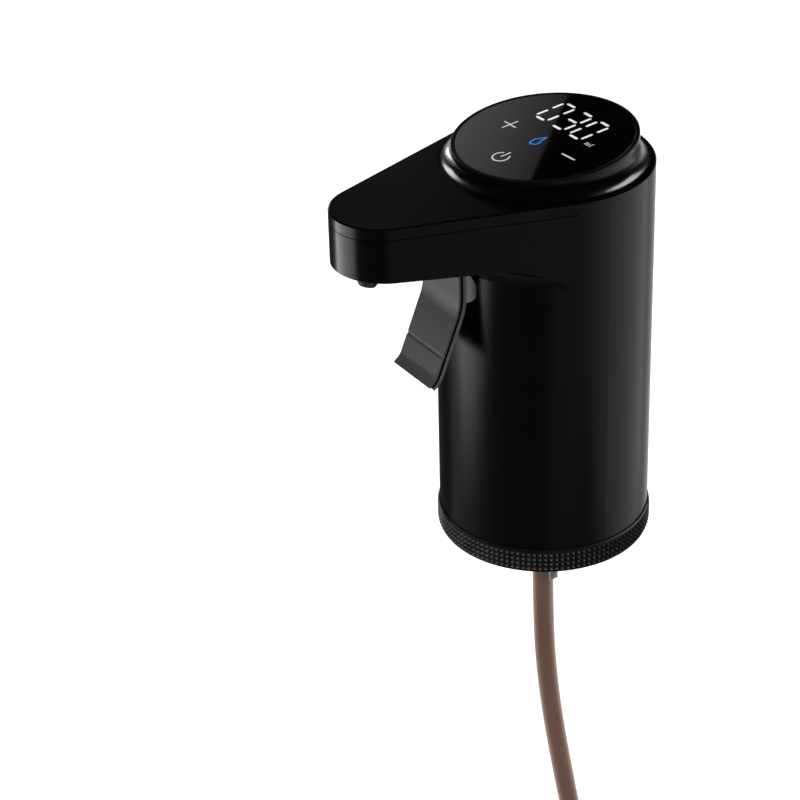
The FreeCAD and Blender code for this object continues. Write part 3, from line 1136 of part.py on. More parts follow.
def make_lever():
    """Front plate, backing and the inner arm that carries them on the pivot."""
    radii = [LEVER_BEND_R, LEVER_CURL_R]
    skin = sheet(LEVER_PATH, radii, 0.0, LEVER_SKIN_T, -LEVER_HALF_W, LEVER_HALF_W)
    fall = Vector(0, LEVER_PATH[2][0] - LEVER_PATH[1][0], LEVER_PATH[2][1] - LEVER_PATH[1][1]).normalize()
    crease_y = LEVER_PATH[1][0] + fall.y * LEVER_CREASE_DROP
    crease_z = LEVER_PATH[1][1] + fall.z * LEVER_CREASE_DROP
    out_y = fall.z * (LEVER_CREASE_R - LEVER_CREASE_DEPTH)
    out_z = -fall.y * (LEVER_CREASE_R - LEVER_CREASE_DEPTH)
    left = (-LEVER_HALF_W - 1, crease_y + out_y, crease_z + out_z)
    right = (LEVER_HALF_W + 1, crease_y + out_y, crease_z + out_z)
    PARTS["lever_plate"] = skin.cut(rod(LEVER_CREASE_R, left, right))
    foot = Vector(0, *LEVER_PATH[3])
    lip = (foot - Vector(0, *LEVER_PATH[2])).normalize()
    stop = foot - lip * LEVER_BACKING_SHORT
    short = LEVER_PATH[:3] + [(stop.y, stop.z)]
    web_far = LEVER_SKIN_T + LEVER_WEB_T
    flange_near = LEVER_SKIN_T + LEVER_GROOVE
    flange_far = flange_near + LEVER_FLANGE_T
    half_web = LEVER_HALF_W - LEVER_INSET
    web = sheet(short, radii, LEVER_SKIN_T, web_far, -half_web, half_web)
    flanges = []
    for side in (-1, 1):
        inner = side * (LEVER_HALF_W - LEVER_FLANGE_W)
        outer = side * LEVER_HALF_W
        flanges.append(sheet(short, radii, flange_near, flange_far, min(inner, outer), max(inner, outer)))
    PARTS["lever_backing"] = fuse([web] + flanges)

    front_y = LEVER_PATH[0][0] + flange_far
    ears = []
    for side in (-1, 1):
        x_low = min(side * LEVER_HALF_W, side * (LEVER_HALF_W - EAR_T))
        lug = ear_lug(x_low, front_y)
        hub = rod(PIVOT_HUB_R, (x_low, PIVOT_Y, PIVOT_Z), (x_low + EAR_T, PIVOT_Y, PIVOT_Z))
        tail = block(x_low, x_low + EAR_T, PIVOT_Y, TAIL_BACK_Y, TAIL_LOW_Z, TAIL_LOW_Z + 2.6)
        ears.append(fuse([lug, hub, tail]))
    bar = block(-LEVER_HALF_W, LEVER_HALF_W, TAIL_FRONT_Y, TAIL_BACK_Y, TAIL_LOW_Z, TAIL_TOP_Z)
    arm = fuse(ears + [bar])
    through = rod(PIVOT_PIN_R + RUN, (-LEVER_HALF_W - 1, PIVOT_Y, PIVOT_Z), (LEVER_HALF_W + 1, PIVOT_Y, PIVOT_Z))
    PARTS["lever_arm"] = arm.cut(through)
    pin_reach = LEVER_HALF_W + 0.3
    PARTS["lever_pin"] = rod(PIVOT_PIN_R, (-pin_reach, PIVOT_Y, PIVOT_Z), (pin_reach, PIVOT_Y, PIVOT_Z))


def make_switch():
    """Micro-switch, its plunger, the return spring and the bracket that holds them and the pin."""
    half_w = SWITCH_SIZE[0] / 2.0
    half_d = SWITCH_SIZE[1] / 2.0
    y_low = PLUNGER_Y - half_d
    case = block(-half_w, half_w, y_low, y_low + SWITCH_SIZE[1], SWITCH_LOW_Z, SWITCH_TOP_Z)
    px = PLUNGER_SIZE[0] / 2.0
    py = PLUNGER_SIZE[1] / 2.0
    plunger_low = TAIL_TOP_Z + GAP
    plunger_high = SWITCH_LOW_Z + 1.5
    room = block(-px - RUN, px + RUN, PLUNGER_Y - py - RUN, PLUNGER_Y + py + RUN, SWITCH_LOW_Z,
                 plunger_high + PLUNGER_TRAVEL + GAP)
    PARTS["micro_switch"] = case.cut(room)
    PARTS["switch_plunger"] = block(-px, px, PLUNGER_Y - py, PLUNGER_Y + py, plunger_low, plunger_high)

    mid = BRACKET_MID_HALF_W
    top_front = PIVOT_Y + 0.5
    top = block(-mid, mid, top_front, top_front + BRACKET_DEPTH, SWITCH_TOP_Z, BRACKET_TOP_Z)
    wing_back = RIB_FACE_Y + BRACKET_T
    wings = block(-BRACKET_HALF_W, BRACKET_HALF_W, RIB_FACE_Y, wing_back, SWITCH_TOP_Z - WING_DROP, BRACKET_TOP_Z)
    wings = wings.cut(block(-mid, mid, RIB_FACE_Y - 0.1, wing_back + 0.1, SWITCH_TOP_Z - WING_DROP - 0.1, SWITCH_TOP_Z))
    cheeks = []
    pin_reach = LEVER_HALF_W + 0.5
    for side in (-1, 1):
        x_low = min(side * CHEEK_INNER_X, side * (CHEEK_INNER_X + CHEEK_T))
        front = PIVOT_Y - CHEEK_BELOW
        cheeks.append(block(x_low, x_low + CHEEK_T, front, front + CHEEK_DEPTH, PIVOT_Z - CHEEK_BELOW, BRACKET_TOP_Z))
    peg = cylinder(SPRING_R - SPRING_WIRE, SWITCH_TOP_Z - 1.2, SWITCH_TOP_Z, SPRING_X, PLUNGER_Y)
    bracket = fuse([top, wings, peg] + cheeks)
    tools = [rod(PIVOT_PIN_R, (-pin_reach, PIVOT_Y, PIVOT_Z), (pin_reach, PIVOT_Y, PIVOT_Z))]
    screws = []
    for side in (-1, 1):
        x = side * (RIB_X + RIB_W / 2.0)
        z = RIB_SCREW_Z
        tools.append(rod(SCREW_SMALL[0], (x, RIB_FACE_Y - 0.5, z), (x, wing_back + 0.5, z)))
        shank = rod(SCREW_SMALL[0], (x, RIB_FACE_Y - 3.0, z), (x, wing_back, z))
        head = rod(SCREW_SMALL[1], (x, wing_back, z), (x, wing_back + SCREW_SMALL[2], z))
        screws.append(fuse([shank, head]))
    PARTS["lever_bracket"] = cut(bracket, tools)
    PARTS["bracket_screws"] = Part.makeCompound(screws)

    low = TAIL_TOP_Z + RUN
    height = SWITCH_TOP_Z - low
    pitch = (height - SPRING_WIRE) / SPRING_TURNS
    helix = Part.makeHelix(pitch, height - SPRING_WIRE, SPRING_R)
    half = SPRING_WIRE / 2.0
    section = Part.makePolygon([
        Vector(SPRING_R - half, 0, -half),
        Vector(SPRING_R + half, 0, -half),
        Vector(SPRING_R + half, 0, half),
        Vector(SPRING_R - half, 0, half),
        Vector(SPRING_R - half, 0, -half),
    ])
    spring = Part.Wire(helix).makePipeShell([section], True, True)
    spring.translate(Vector(SPRING_X, PLUNGER_Y, low + half))
    PARTS["lever_spring"] = spring


# ---------------------------------------------------------------------------- wine path in the arm
def make_nozzle():
    """Nozzle with its flange, elbow and barb, its drip valve and screws."""
    head_z = NOZZLE_SEAT + NOZZLE_FLANGE_T
    centre_s = head_z + NOZZLE_HEAD_L / 2.0
    tip = revolve([(0, 0), (NOZZLE_TIP_R, 0), (NOZZLE_R, NOZZLE_TAPER_L), (NOZZLE_R, NOZZLE_SEAT), (0, NOZZLE_SEAT)])
    flange = cylinder(NOZZLE_FLANGE_R, NOZZLE_SEAT, head_z)
    ears = [cylinder(2.0, NOZZLE_SEAT, head_z, s * NOZZLE_EAR_X) for s in (-1, 1)]
    head = cylinder(NOZZLE_HEAD_R, head_z, head_z + NOZZLE_HEAD_L)
    upright = nozzle_frame(fuse([tip, flange, head] + ears))
    lean = math.radians(NOZZLE_TILT_DEG)
    elbow = (0.0, NOZZLE_TIP_Y + centre_s * math.sin(lean), NOZZLE_TIP_Z + centre_s * math.cos(lean))
    barb_end = (0.0, elbow[1] + NOZZLE_SPOUT_L, elbow[2])
    barb = rod(HOSE_BORE_R, elbow, barb_end)
    body = fuse([upright, barb])
    tools = [
        nozzle_frame(cylinder(NOZZLE_BORE_R, -1.0, NOZZLE_SEAT)),
        nozzle_frame(cylinder(PORT_R, 0.0, centre_s)),
        rod(PORT_R, elbow, (0.0, barb_end[1] + 1.0, elbow[2])),
    ]
    screws = []
    for side in (-1, 1):
        x = side * NOZZLE_EAR_X
        tools.append(nozzle_frame(cylinder(SCREW_SMALL[0], NOZZLE_SEAT - 1.0, head_z + 1.0, x)))
        screws.append(nozzle_frame(screw(SCREW_SMALL, 5.2, x, 0, head_z, up=False)))
    PARTS["nozzle"] = cut(body, tools)
    PARTS["nozzle_screws"] = Part.makeCompound(screws)
    valve = pipe(NOZZLE_BORE_R, PORT_R, 3.6, 5.6).fuse(cylinder(NOZZLE_BORE_R, 3.0, 3.6)).removeSplitter()
    valve = valve.cut(block(-0.9, 0.9, -0.06, 0.06, 2.5, 4.0))
    PARTS["drip_valve"] = nozzle_frame(valve)
    return barb_end


def make_outlet_hose(barb_end):
    """Hose from the pump's outlet up the body and along the arm to the nozzle."""
    start = Vector(OUTLET_X, MESH_Y, PUMP_TOP_Z + 0.3)
    end = Vector(barb_end[0], barb_end[1] - NOZZLE_SPOUT_L + NOZZLE_HEAD_R + 0.6, barb_end[2])
    turn = Vector(OUTLET_X, MESH_Y, barb_end[2])
    join = Vector(0, end.y + 18.0, barb_end[2])
    path = bent_path([start, turn, join, end], [HOSE_TURN_R, HOSE_TURN_R])
    hose = swept(path, HOSE_R, start, Vector(0, 0, 1))
    bore = swept(path, HOSE_BORE_R, start, Vector(0, 0, 1))
    print("outlet hose length %.1f" % path.Length)
    PARTS["outlet_hose"] = hose.cut(bore)


# ---------------------------------------------------------------------------- all pieces
def main():
    """Make every piece and write it out."""
    os.makedirs("parts", exist_ok=True)
    PARTS["main_housing"] = make_main_housing()
    PARTS["top_cover"] = make_top_cover()
    make_display()
    PARTS["lock_ring"] = make_lock_ring()
    make_base()
    make_stopper()
    make_dip_tube()
    make_pump()
    make_motor()
    make_power()
    make_lever()
    make_switch()
    barb_end = make_nozzle()
    make_outlet_hose(barb_end)
    for name, shape in PARTS.items():
        shape.exportStep("parts/%s.step" % name)
        box = shape.BoundBox
        span = (box.XMin, box.XMax, box.YMin, box.YMax, box.ZMin, box.ZMax)
        sizes = " ".join("%.2f" % v for v in span)
        print("%-18s valid %s solids %d faces %d volume %.1f box %s" % (
            name, shape.isValid(), len(shape.Solids), len(shape.Faces), shape.Volume, sizes))


main()
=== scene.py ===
"""Looks of the bottle-top wine dispenser: finishes, display marks, hose, spring and studio."""

import logging
import math
from dataclasses import dataclass, field
from enum import Enum
from typing import Mapping, Optional, Sequence, Union

import bmesh
import bpy
from mathutils import Matrix, Vector


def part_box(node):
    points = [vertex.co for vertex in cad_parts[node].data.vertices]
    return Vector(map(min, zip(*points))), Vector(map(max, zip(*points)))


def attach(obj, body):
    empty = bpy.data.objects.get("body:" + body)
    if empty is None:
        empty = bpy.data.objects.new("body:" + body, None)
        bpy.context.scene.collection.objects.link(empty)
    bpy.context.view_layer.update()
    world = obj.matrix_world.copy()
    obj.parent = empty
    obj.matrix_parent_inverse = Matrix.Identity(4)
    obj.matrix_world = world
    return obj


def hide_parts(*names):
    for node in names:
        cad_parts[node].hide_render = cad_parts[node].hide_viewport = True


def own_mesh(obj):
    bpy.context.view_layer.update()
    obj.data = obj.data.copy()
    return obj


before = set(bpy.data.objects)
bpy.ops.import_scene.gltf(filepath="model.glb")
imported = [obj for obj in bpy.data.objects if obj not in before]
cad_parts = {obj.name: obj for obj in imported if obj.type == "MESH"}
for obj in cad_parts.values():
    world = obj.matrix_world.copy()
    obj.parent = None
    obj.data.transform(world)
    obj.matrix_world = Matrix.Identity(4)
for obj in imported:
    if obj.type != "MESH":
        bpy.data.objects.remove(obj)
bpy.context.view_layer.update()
LOG = logging.getLogger("dispenser")

Colour = tuple[float, float, float]
Place = tuple[float, float, float]
Point = tuple[float, float]
Span = tuple[float, float]
Node = bpy.types.Node
Tree = bpy.types.NodeTree
Socket = bpy.types.NodeSocket
Value = Union[float, Sequence[float], Socket]
Ring = list[bmesh.types.BMVert]

MM = 0.001
UP = Vector((0.0, 0.0, 1.0))
FULL: Span = (0.0, 1.0)
# The display's glass: its height on the body's axis in millimetres, and its rise towards the back.
GLASS_Z = 104.44
GLASS_SLOPE = 0.095
# Where the Mix node keeps its two colours and its mixed colour.
MIX_A, MIX_B, MIX_RESULT = 6, 7, 2


# ---------------------------------------------------------------------------- helpers
def grey(level: float) -> Colour:
    """Neutral colour of one linear level."""
    return (level, level, level)


def mm(x: float, y: float, z: float) -> Vector:
    """Point given in millimetres, in metres."""
    return Vector((x, y, z)) * MM


def on_glass(x: float, y: float, lift: float = 0.0) -> Vector:
    """Point over the tilted glass, given in millimetres, in metres."""
    return mm(x, y, GLASS_Z + GLASS_SLOPE * y + lift)


def add_ring(mesh: bmesh.types.BMesh, centre: Vector, first: Vector, second: Vector,
             radius: float, sides: int) -> Ring:
    """Put a ring of points round a centre.

    Args:
        mesh: Mesh that takes the points.
        centre: Middle of the ring, in metres.
        first: Direction of its first point.
        second: Direction of the point a quarter turn on.
        radius: Radius, in metres.
        sides: Number of points.

    Returns:
        The points in order.
    """
    ring = []
    for k in range(sides):
        angle = 2.0 * math.pi * k / sides
        spoke = first * math.cos(angle) + second * math.sin(angle)
        ring.append(mesh.verts.new(centre + spoke * radius))
    return ring


def skin(mesh: bmesh.types.BMesh, rings: Sequence[Ring]) -> None:
    """Lay faces from each ring of points to the next.

    Args:
        mesh: Mesh that has the points.
        rings: Rings in order, with equal numbers of points.
    """
    for here, there in zip(rings, rings[1:]):
        for k in range(len(here)):
            n = (k + 1) % len(here)
            mesh.faces.new((here[k], here[n], there[n], there[k]))


def add_mesh(name: str, mesh: bmesh.types.BMesh, material: bpy.types.Material,
             smooth: bool = True) -> bpy.types.Object:
    """Turn a bmesh into a piece in the scene.

    Args:
        name: Name of the piece.
        mesh: Built geometry, in metres. It is freed here.
        material: Its only material.
        smooth: Whether its faces are shaded smooth.

    Returns:
        The new object.
    """
    bmesh.ops.remove_doubles(mesh, verts=mesh.verts, dist=1e-7)
    bmesh.ops.recalc_face_normals(mesh, faces=mesh.faces)
    data = bpy.data.meshes.new(name)
    mesh.to_mesh(data)
    mesh.free()
    for face in data.polygons:
        face.use_smooth = smooth
    data.materials.append(material)
    piece = bpy.data.objects.new(name, data)
    bpy.context.scene.collection.objects.link(piece)
    return piece


def place_on(piece: bpy.types.Object, body: str, replaced: Sequence[str] = ()) -> None:
    """Fix a piece to its body and hide the imported solids that it stands for.

    Args:
        piece: The new piece.
        body: Body that it moves with.
        replaced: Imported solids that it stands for.
    """
    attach(piece, body)
    if replaced:
        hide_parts(*replaced)
    LOG.info("placed %s on %s", piece.name, body)


# ---------------------------------------------------------------------------- node trees
class Bench:
    """Puts down and joins the nodes of one node tree."""

    def __init__(self, tree: Tree) -> None:
        """Start on an empty tree."""
        self.tree = tree
        tree.nodes.clear()

    def feed(self, target: Socket, value: Value) -> None:
        """Link an input to an output, or set it to a constant.

        Args:
            target: The input.
            value: An output, a number, a vector, or a colour's three parts.
        """
        if isinstance(value, Socket):
            self.tree.links.new(value, target)
        elif target.type == "RGBA":
            target.default_value = (*value, 1.0)
        else:
            target.default_value = value

    def put(self, kind: str, inputs: Optional[Mapping[Union[int, str], Value]] = None,
            **settings: object) -> Node:
        """Add a node.

        Args:
            kind: Node type without the ShaderNode prefix.
            inputs: What its inputs are fed with, by their names or places.
            settings: Attributes of the node to set.

        Returns:
            The new node.
        """
        prefix = "" if kind.startswith("NodeGroup") else "ShaderNode"
        node = self.tree.nodes.new(prefix + kind)
        for key, value in settings.items():
            setattr(node, key, value)
        for key, value in (inputs or {}).items():
            self.feed(node.inputs[key], value)
        return node

    def math(self, operation: str, *values: Value, clamp: bool = False) -> Socket:
        """Arithmetic on outputs or numbers.

        Args:
            operation: Operation of the Math node.
            values: What it works on.
            clamp: Whether the result is kept between 0 and 1.

        Returns:
            The result's socket.
        """
        node = self.put("Math", dict(enumerate(values)), operation=operation, use_clamp=clamp)
        return node.outputs[0]

    def remap(self, value: Socket, result: Span, source: Span = FULL) -> Socket:
        """Spread a value over a new range.

        Args:
            value: Socket with the value.
            result: Results at the start and the end of the source range.
            source: Values that give them.

        Returns:
            The result's socket.
        """
        node = self.put("MapRange", {"Value": value, "From Min": source[0], "From Max": source[1],
                                     "To Min": result[0], "To Max": result[1]})
        return node.outputs[0]

    def noise(self, coordinate: Socket, scale: float, detail: float = 3.0) -> Socket:
        """Noise over a piece.

        Args:
            coordinate: Socket with the coordinate.
            scale: Cells per metre.
            detail: Octaves.

        Returns:
            Socket with the noise's value.
        """
        node = self.put("TexNoise", {"Vector": coordinate, "Scale": scale, "Detail": detail})
        return node.outputs["Fac"]

    def blend(self, factor: Socket, first: Value, second: Value) -> Socket:
        """Mix of two colours by a factor.

        Args:
            factor: Socket with the factor.
            first: Colour at 0.
            second: Colour at 1.

        Returns:
            Socket with the mixed colour.
        """
        node = self.put("Mix", {0: factor, MIX_A: first, MIX_B: second}, data_type="RGBA")
        return node.outputs[MIX_RESULT]

    def place(self) -> Socket:
        """Coordinate on the piece, in metres."""
        return self.put("TexCoord").outputs["Object"]

    def split(self, vector: Socket) -> tuple[Socket, Socket, Socket]:
        """Parts of a vector along x, y and z."""
        node = self.put("SeparateXYZ", {0: vector})
        return node.outputs["X"], node.outputs["Y"], node.outputs["Z"]

    def off_axis(self, x: Socket, y: Socket) -> Socket:
        """Distance of a place from the upright axis."""
        squares = (self.math("MULTIPLY", part, part) for part in (x, y))
        return self.math("SQRT", self.math("ADD", *squares))

    def is_ray(self, *kinds: str) -> Socket:
        """Test of the kind of ray.

        Args:
            kinds: Kinds that count, such as Camera or Glossy.

        Returns:
            Socket with 1 for a ray of these kinds and 0 for others.
        """
        path = self.put("LightPath")
        seen, *others = (path.outputs[f"Is {kind} Ray"] for kind in kinds)
        for other in others:
            seen = self.math("MAXIMUM", seen, other)
        return seen

    def mix_shaders(self, factor: Socket, first: Node, second: Node) -> Node:
        """Mix of two shaders by a factor.

        Args:
            factor: Socket with the factor.
            first: Shader at 0.
            second: Shader at 1.

        Returns:
            The mixing node.
        """
        return self.put("MixShader", {0: factor, 1: first.outputs[0], 2: second.outputs[0]})

    def show(self, shader: Node, output: str = "OutputMaterial") -> None:
        """Send a shader to the tree's output.

        Args:
            shader: The last shader.
            output: Type of the output node.
        """
        self.put(output, {"Surface": shader.outputs[0]})


def new_material(name: str) -> tuple[bpy.types.Material, Bench]:
    """Start a material.

    Args:
        name: Name of the material.

    Returns:
        The material and the bench of its empty tree.
    """
    made = bpy.data.materials.new(name)
    made.use_nodes = True
    return made, Bench(made.node_tree)


# ---------------------------------------------------------------------------- shared effects
class Effect(Enum):
    """Effects that several materials share."""

    FINE_GRAIN = "fine_grain"
    DRAWN_LINES = "drawn_lines"
    HANDLED_EDGES = "handled_edges"
    SETTLED_DUST = "settled_dust"


class Effects:
    """Node groups of the shared effects, built once each. Cells are per metre."""

    broad_cells = 42.0
    streak_cells = 120.0
    wear_cells = 260.0
    dust_cells = 900.0
    tone_span: Span = (0.3, 0.7)
    line_stretch = (0.04, 0.04, 1.0)
    bevel_samples = 4
    edge_span: Span = (0.75, 0.99)
    wear_patches: Span = (0.15, 1.0)
    wear_span: Span = (0.35, 0.62)
    facing_span: Span = (0.3, 1.0)
    speck_span: Span = (0.5, 0.75)

    def __init__(self) -> None:
        """Start with no group built."""
        self._built: dict[Effect, Tree] = {}
        self._makers = {Effect.FINE_GRAIN: self._fine_grain,
                        Effect.DRAWN_LINES: self._drawn_lines,
                        Effect.HANDLED_EDGES: self._handled_edges,
                        Effect.SETTLED_DUST: self._settled_dust}

    def use(self, bench: Bench, effect: Effect, inputs: Mapping[str, Value]) -> Node:
        """Put an effect down in a material.

        Args:
            bench: Bench of the material.
            effect: The effect.
            inputs: What its inputs are fed with.

        Returns:
            Its group node.
        """
        if effect not in self._built:
            self._built[effect] = self._makers[effect]()
        return bench.put("Group", inputs, node_tree=self._built[effect])

    @staticmethod
    def _start(effect: Effect, inputs: Mapping[str, float],
               outputs: Sequence[str]) -> tuple[Bench, Node, Node]:
        """Make an empty group with its sockets.

        Args:
            effect: Effect that the group is for.
            inputs: Names and defaults of its number inputs.
            outputs: Names of its number outputs.

        Returns:
            The group's bench, and its input and output nodes.
        """
        tree = bpy.data.node_groups.new(effect.value, "ShaderNodeTree")
        bench = Bench(tree)
        for label, default in inputs.items():
            socket = tree.interface.new_socket(label, in_out="INPUT",
                                               socket_type="NodeSocketFloat")
            socket.default_value = default
        for label in outputs:
            tree.interface.new_socket(label, in_out="OUTPUT", socket_type="NodeSocketFloat")
        return bench, bench.put("NodeGroupInput"), bench.put("NodeGroupOutput")

    def _fine_grain(self) -> Tree:
        """Grain of moulded or sprayed surfaces: a fine height and a broad, faint tone."""
        bench, given, result = self._start(Effect.FINE_GRAIN, {"Cells": 3000.0},
                                           ["Height", "Tone"])
        place = bench.place()
        height = bench.noise(place, given.outputs["Cells"], 2.0)
        bench.feed(result.inputs["Height"], height)
        tone = bench.remap(bench.noise(place, self.broad_cells, 4.0), FULL, self.tone_span)
        bench.feed(result.inputs["Tone"], tone)
        return bench.tree

    def _drawn_lines(self) -> Tree:
        """Fine lines that turning or brushing leaves round an upright axis."""
        bench, given, result = self._start(Effect.DRAWN_LINES, {"Cells": 5000.0},
                                           ["Height", "Tone"])
        place = bench.place()
        drawn = bench.put("Mapping", {"Vector": place, "Scale": self.line_stretch})
        height = bench.noise(drawn.outputs["Vector"], given.outputs["Cells"], 2.0)
        bench.feed(result.inputs["Height"], height)
        tone = bench.remap(bench.noise(place, self.streak_cells), FULL, self.tone_span)
        bench.feed(result.inputs["Tone"], tone)
        return bench.tree

    def _handled_edges(self) -> Tree:
        """Polish and light wear that handling leaves on edges."""
        bench, given, result = self._start(Effect.HANDLED_EDGES, {"Reach": 0.0004, "Amount": 1.0},
                                           ["Mask"])
        rounded = bench.put("Bevel", {"Radius": given.outputs["Reach"]},
                            samples=self.bevel_samples)
        plain = bench.put("NewGeometry")
        turn = bench.put("VectorMath", {0: rounded.outputs["Normal"], 1: plain.outputs["Normal"]},
                         operation="DOT_PRODUCT")
        edge = bench.remap(turn.outputs["Value"], (1.0, 0.0), self.edge_span)
        patchy = bench.remap(bench.noise(bench.place(), self.wear_cells, 4.0), self.wear_patches,
                             self.wear_span)
        worn = bench.math("MULTIPLY", edge, patchy)
        bench.feed(result.inputs["Mask"],
                   bench.math("MULTIPLY", worn, given.outputs["Amount"], clamp=True))
        return bench.tree

    def _settled_dust(self) -> Tree:
        """Thin dust on surfaces that face up."""
        bench, given, result = self._start(Effect.SETTLED_DUST, {"Amount": 0.2}, ["Mask"])
        _, _, up = bench.split(bench.put("NewGeometry").outputs["Normal"])
        facing = bench.remap(up, FULL, self.facing_span)
        specks = bench.remap(bench.noise(bench.place(), self.dust_cells, 5.0), FULL,
                             self.speck_span)
        lying = bench.math("MULTIPLY", facing, specks)
        bench.feed(result.inputs["Mask"],
                   bench.math("MULTIPLY", lying, given.outputs["Amount"], clamp=True))
        return bench.tree


EFFECTS = Effects()


# ---------------------------------------------------------------------------- finishes
@dataclass(frozen=True)
class Look:
    """Surface that is built once, as a material of its name."""

    name: str

    def material(self) -> bpy.types.Material:
        """Find or build the material.

        Returns:
            The material.
        """
        found = bpy.data.materials.get(self.name)
        if found is not None and found.get("finish"):
            return found
        made, bench = new_material(self.name)
        made["finish"] = True
        self._surface(bench)
        return made

    def _surface(self, bench: Bench) -> None:
        """Build the shader. Each kind of look has its own.

        Args:
            bench: Bench of the material.
        """
        raise NotImplementedError


@dataclass(frozen=True)
class Finish(Look):
    """Surface of one shader with grain, a broad tone and handled edges. Depths are in metres."""

    tone: Colour
    second_tone: Colour
    roughness: float
    roughness_spread: float = 0.05
    metallic: float = 0.0
    specular: float = 0.5
    grain: Effect = Effect.FINE_GRAIN
    grain_cells: float = 3000.0
    grain_depth: float = 4e-6
    wear: float = 0.3
    wear_tone: Colour = (0.03, 0.03, 0.03)
    wear_polish: float = 0.08
    dust: float = 0.0
    dust_tone: Colour = (0.25, 0.24, 0.23)
    coat: float = 0.0
    coat_roughness: float = 0.05
    transmission: float = 0.0
    ior: float = 1.5
    subsurface: float = 0.0
    subsurface_depth: float = 0.002

    def _surface(self, bench: Bench) -> None:
        """Build the shader with its colour and its relief.

        Args:
            bench: Bench of the material.
        """
        surface = bench.put("BsdfPrincipled", {
            "Metallic": self.metallic, "Specular IOR Level": self.specular, "IOR": self.ior,
            "Coat Weight": self.coat, "Coat Roughness": self.coat_roughness,
            "Transmission Weight": self.transmission, "Subsurface Weight": self.subsurface,
            "Subsurface Scale": self.subsurface_depth})
        self._colour(bench, surface)
        self._relief(bench, surface)
        bench.show(surface)

    def _colour(self, bench: Bench, surface: Node) -> None:
        """Colour and roughness that change over the surface.

        Args:
            bench: Bench of the material.
            surface: Its shader.
        """
        grain = EFFECTS.use(bench, self.grain, {"Cells": self.grain_cells}).outputs["Tone"]
        colour = bench.blend(grain, self.tone, self.second_tone)
        rough = bench.remap(grain, (self.roughness - self.roughness_spread,
                                    self.roughness + self.roughness_spread))
        if self.wear > 0:
            edges = EFFECTS.use(bench, Effect.HANDLED_EDGES, {"Amount": self.wear})
            colour = bench.blend(edges.outputs["Mask"], colour, self.wear_tone)
            polish = bench.math("MULTIPLY", edges.outputs["Mask"], self.wear_polish)
            rough = bench.math("SUBTRACT", rough, polish)
        if self.dust > 0:
            dust = EFFECTS.use(bench, Effect.SETTLED_DUST, {"Amount": self.dust})
            colour = bench.blend(dust.outputs["Mask"], colour, self.dust_tone)
        bench.feed(surface.inputs["Base Color"], colour)
        bench.feed(surface.inputs["Roughness"], rough)

    def _relief(self, bench: Bench, surface: Node) -> None:
        """Bump from the grain.

        Args:
            bench: Bench of the material.
            surface: Its shader.
        """
        if self.grain_depth <= 0:
            return
        grain = EFFECTS.use(bench, self.grain, {"Cells": self.grain_cells})
        bump = bench.put("Bump", {"Distance": self.grain_depth,
                                  "Height": grain.outputs["Height"]})
        bench.feed(surface.inputs["Normal"], bump.outputs["Normal"])


@dataclass(frozen=True)
class GroundGlass(Finish):
    """Polished glass whose narrow edges are ground."""

    edge_roughness: float = 0.5
    flat_span: Span = (0.94, 0.96)

    def _colour(self, bench: Bench, surface: Node) -> None:
        """Colour of the glass, with a rougher edge.

        Args:
            bench: Bench of the material.
            surface: Its shader.
        """
        super()._colour(bench, surface)
        polished = surface.inputs["Roughness"].links[0].from_socket
        _, _, up = bench.split(bench.put("NewGeometry").outputs["True Normal"])
        edge = bench.remap(up, (self.edge_roughness, 0.0), self.flat_span)
        bench.feed(surface.inputs["Roughness"], bench.math("MAXIMUM", polished, edge))


@dataclass(frozen=True)
class PolishedFlare(Finish):
    """Satin cover whose flare round the display is polished. Radii are in metres."""

    inner_r: float = 0.0236
    outer_r: float = 0.0282
    flare_coat: float = 1.0
    steep_end: Span = (0.4, 0.7)
    flat_end: Span = (0.945, 0.99)

    def _colour(self, bench: Bench, surface: Node) -> None:
        """Colour of the cover, with a polished coat on its flare.

        Args:
            bench: Bench of the material.
            surface: Its shader.
        """
        super()._colour(bench, surface)
        x, y, _ = bench.split(bench.place())
        radius = bench.off_axis(x, y)
        near = bench.math("MULTIPLY", bench.math("GREATER_THAN", radius, self.inner_r),
                          bench.math("LESS_THAN", radius, self.outer_r))
        _, _, up = bench.split(bench.put("NewGeometry").outputs["Normal"])
        off_steep = bench.remap(up, (0.0, self.flare_coat), self.steep_end)
        off_flat = bench.remap(up, (1.0, 0.0), self.flat_end)
        weight = bench.math("MULTIPLY", near, bench.math("MULTIPLY", off_steep, off_flat))
        bench.feed(surface.inputs["Coat Weight"], weight)


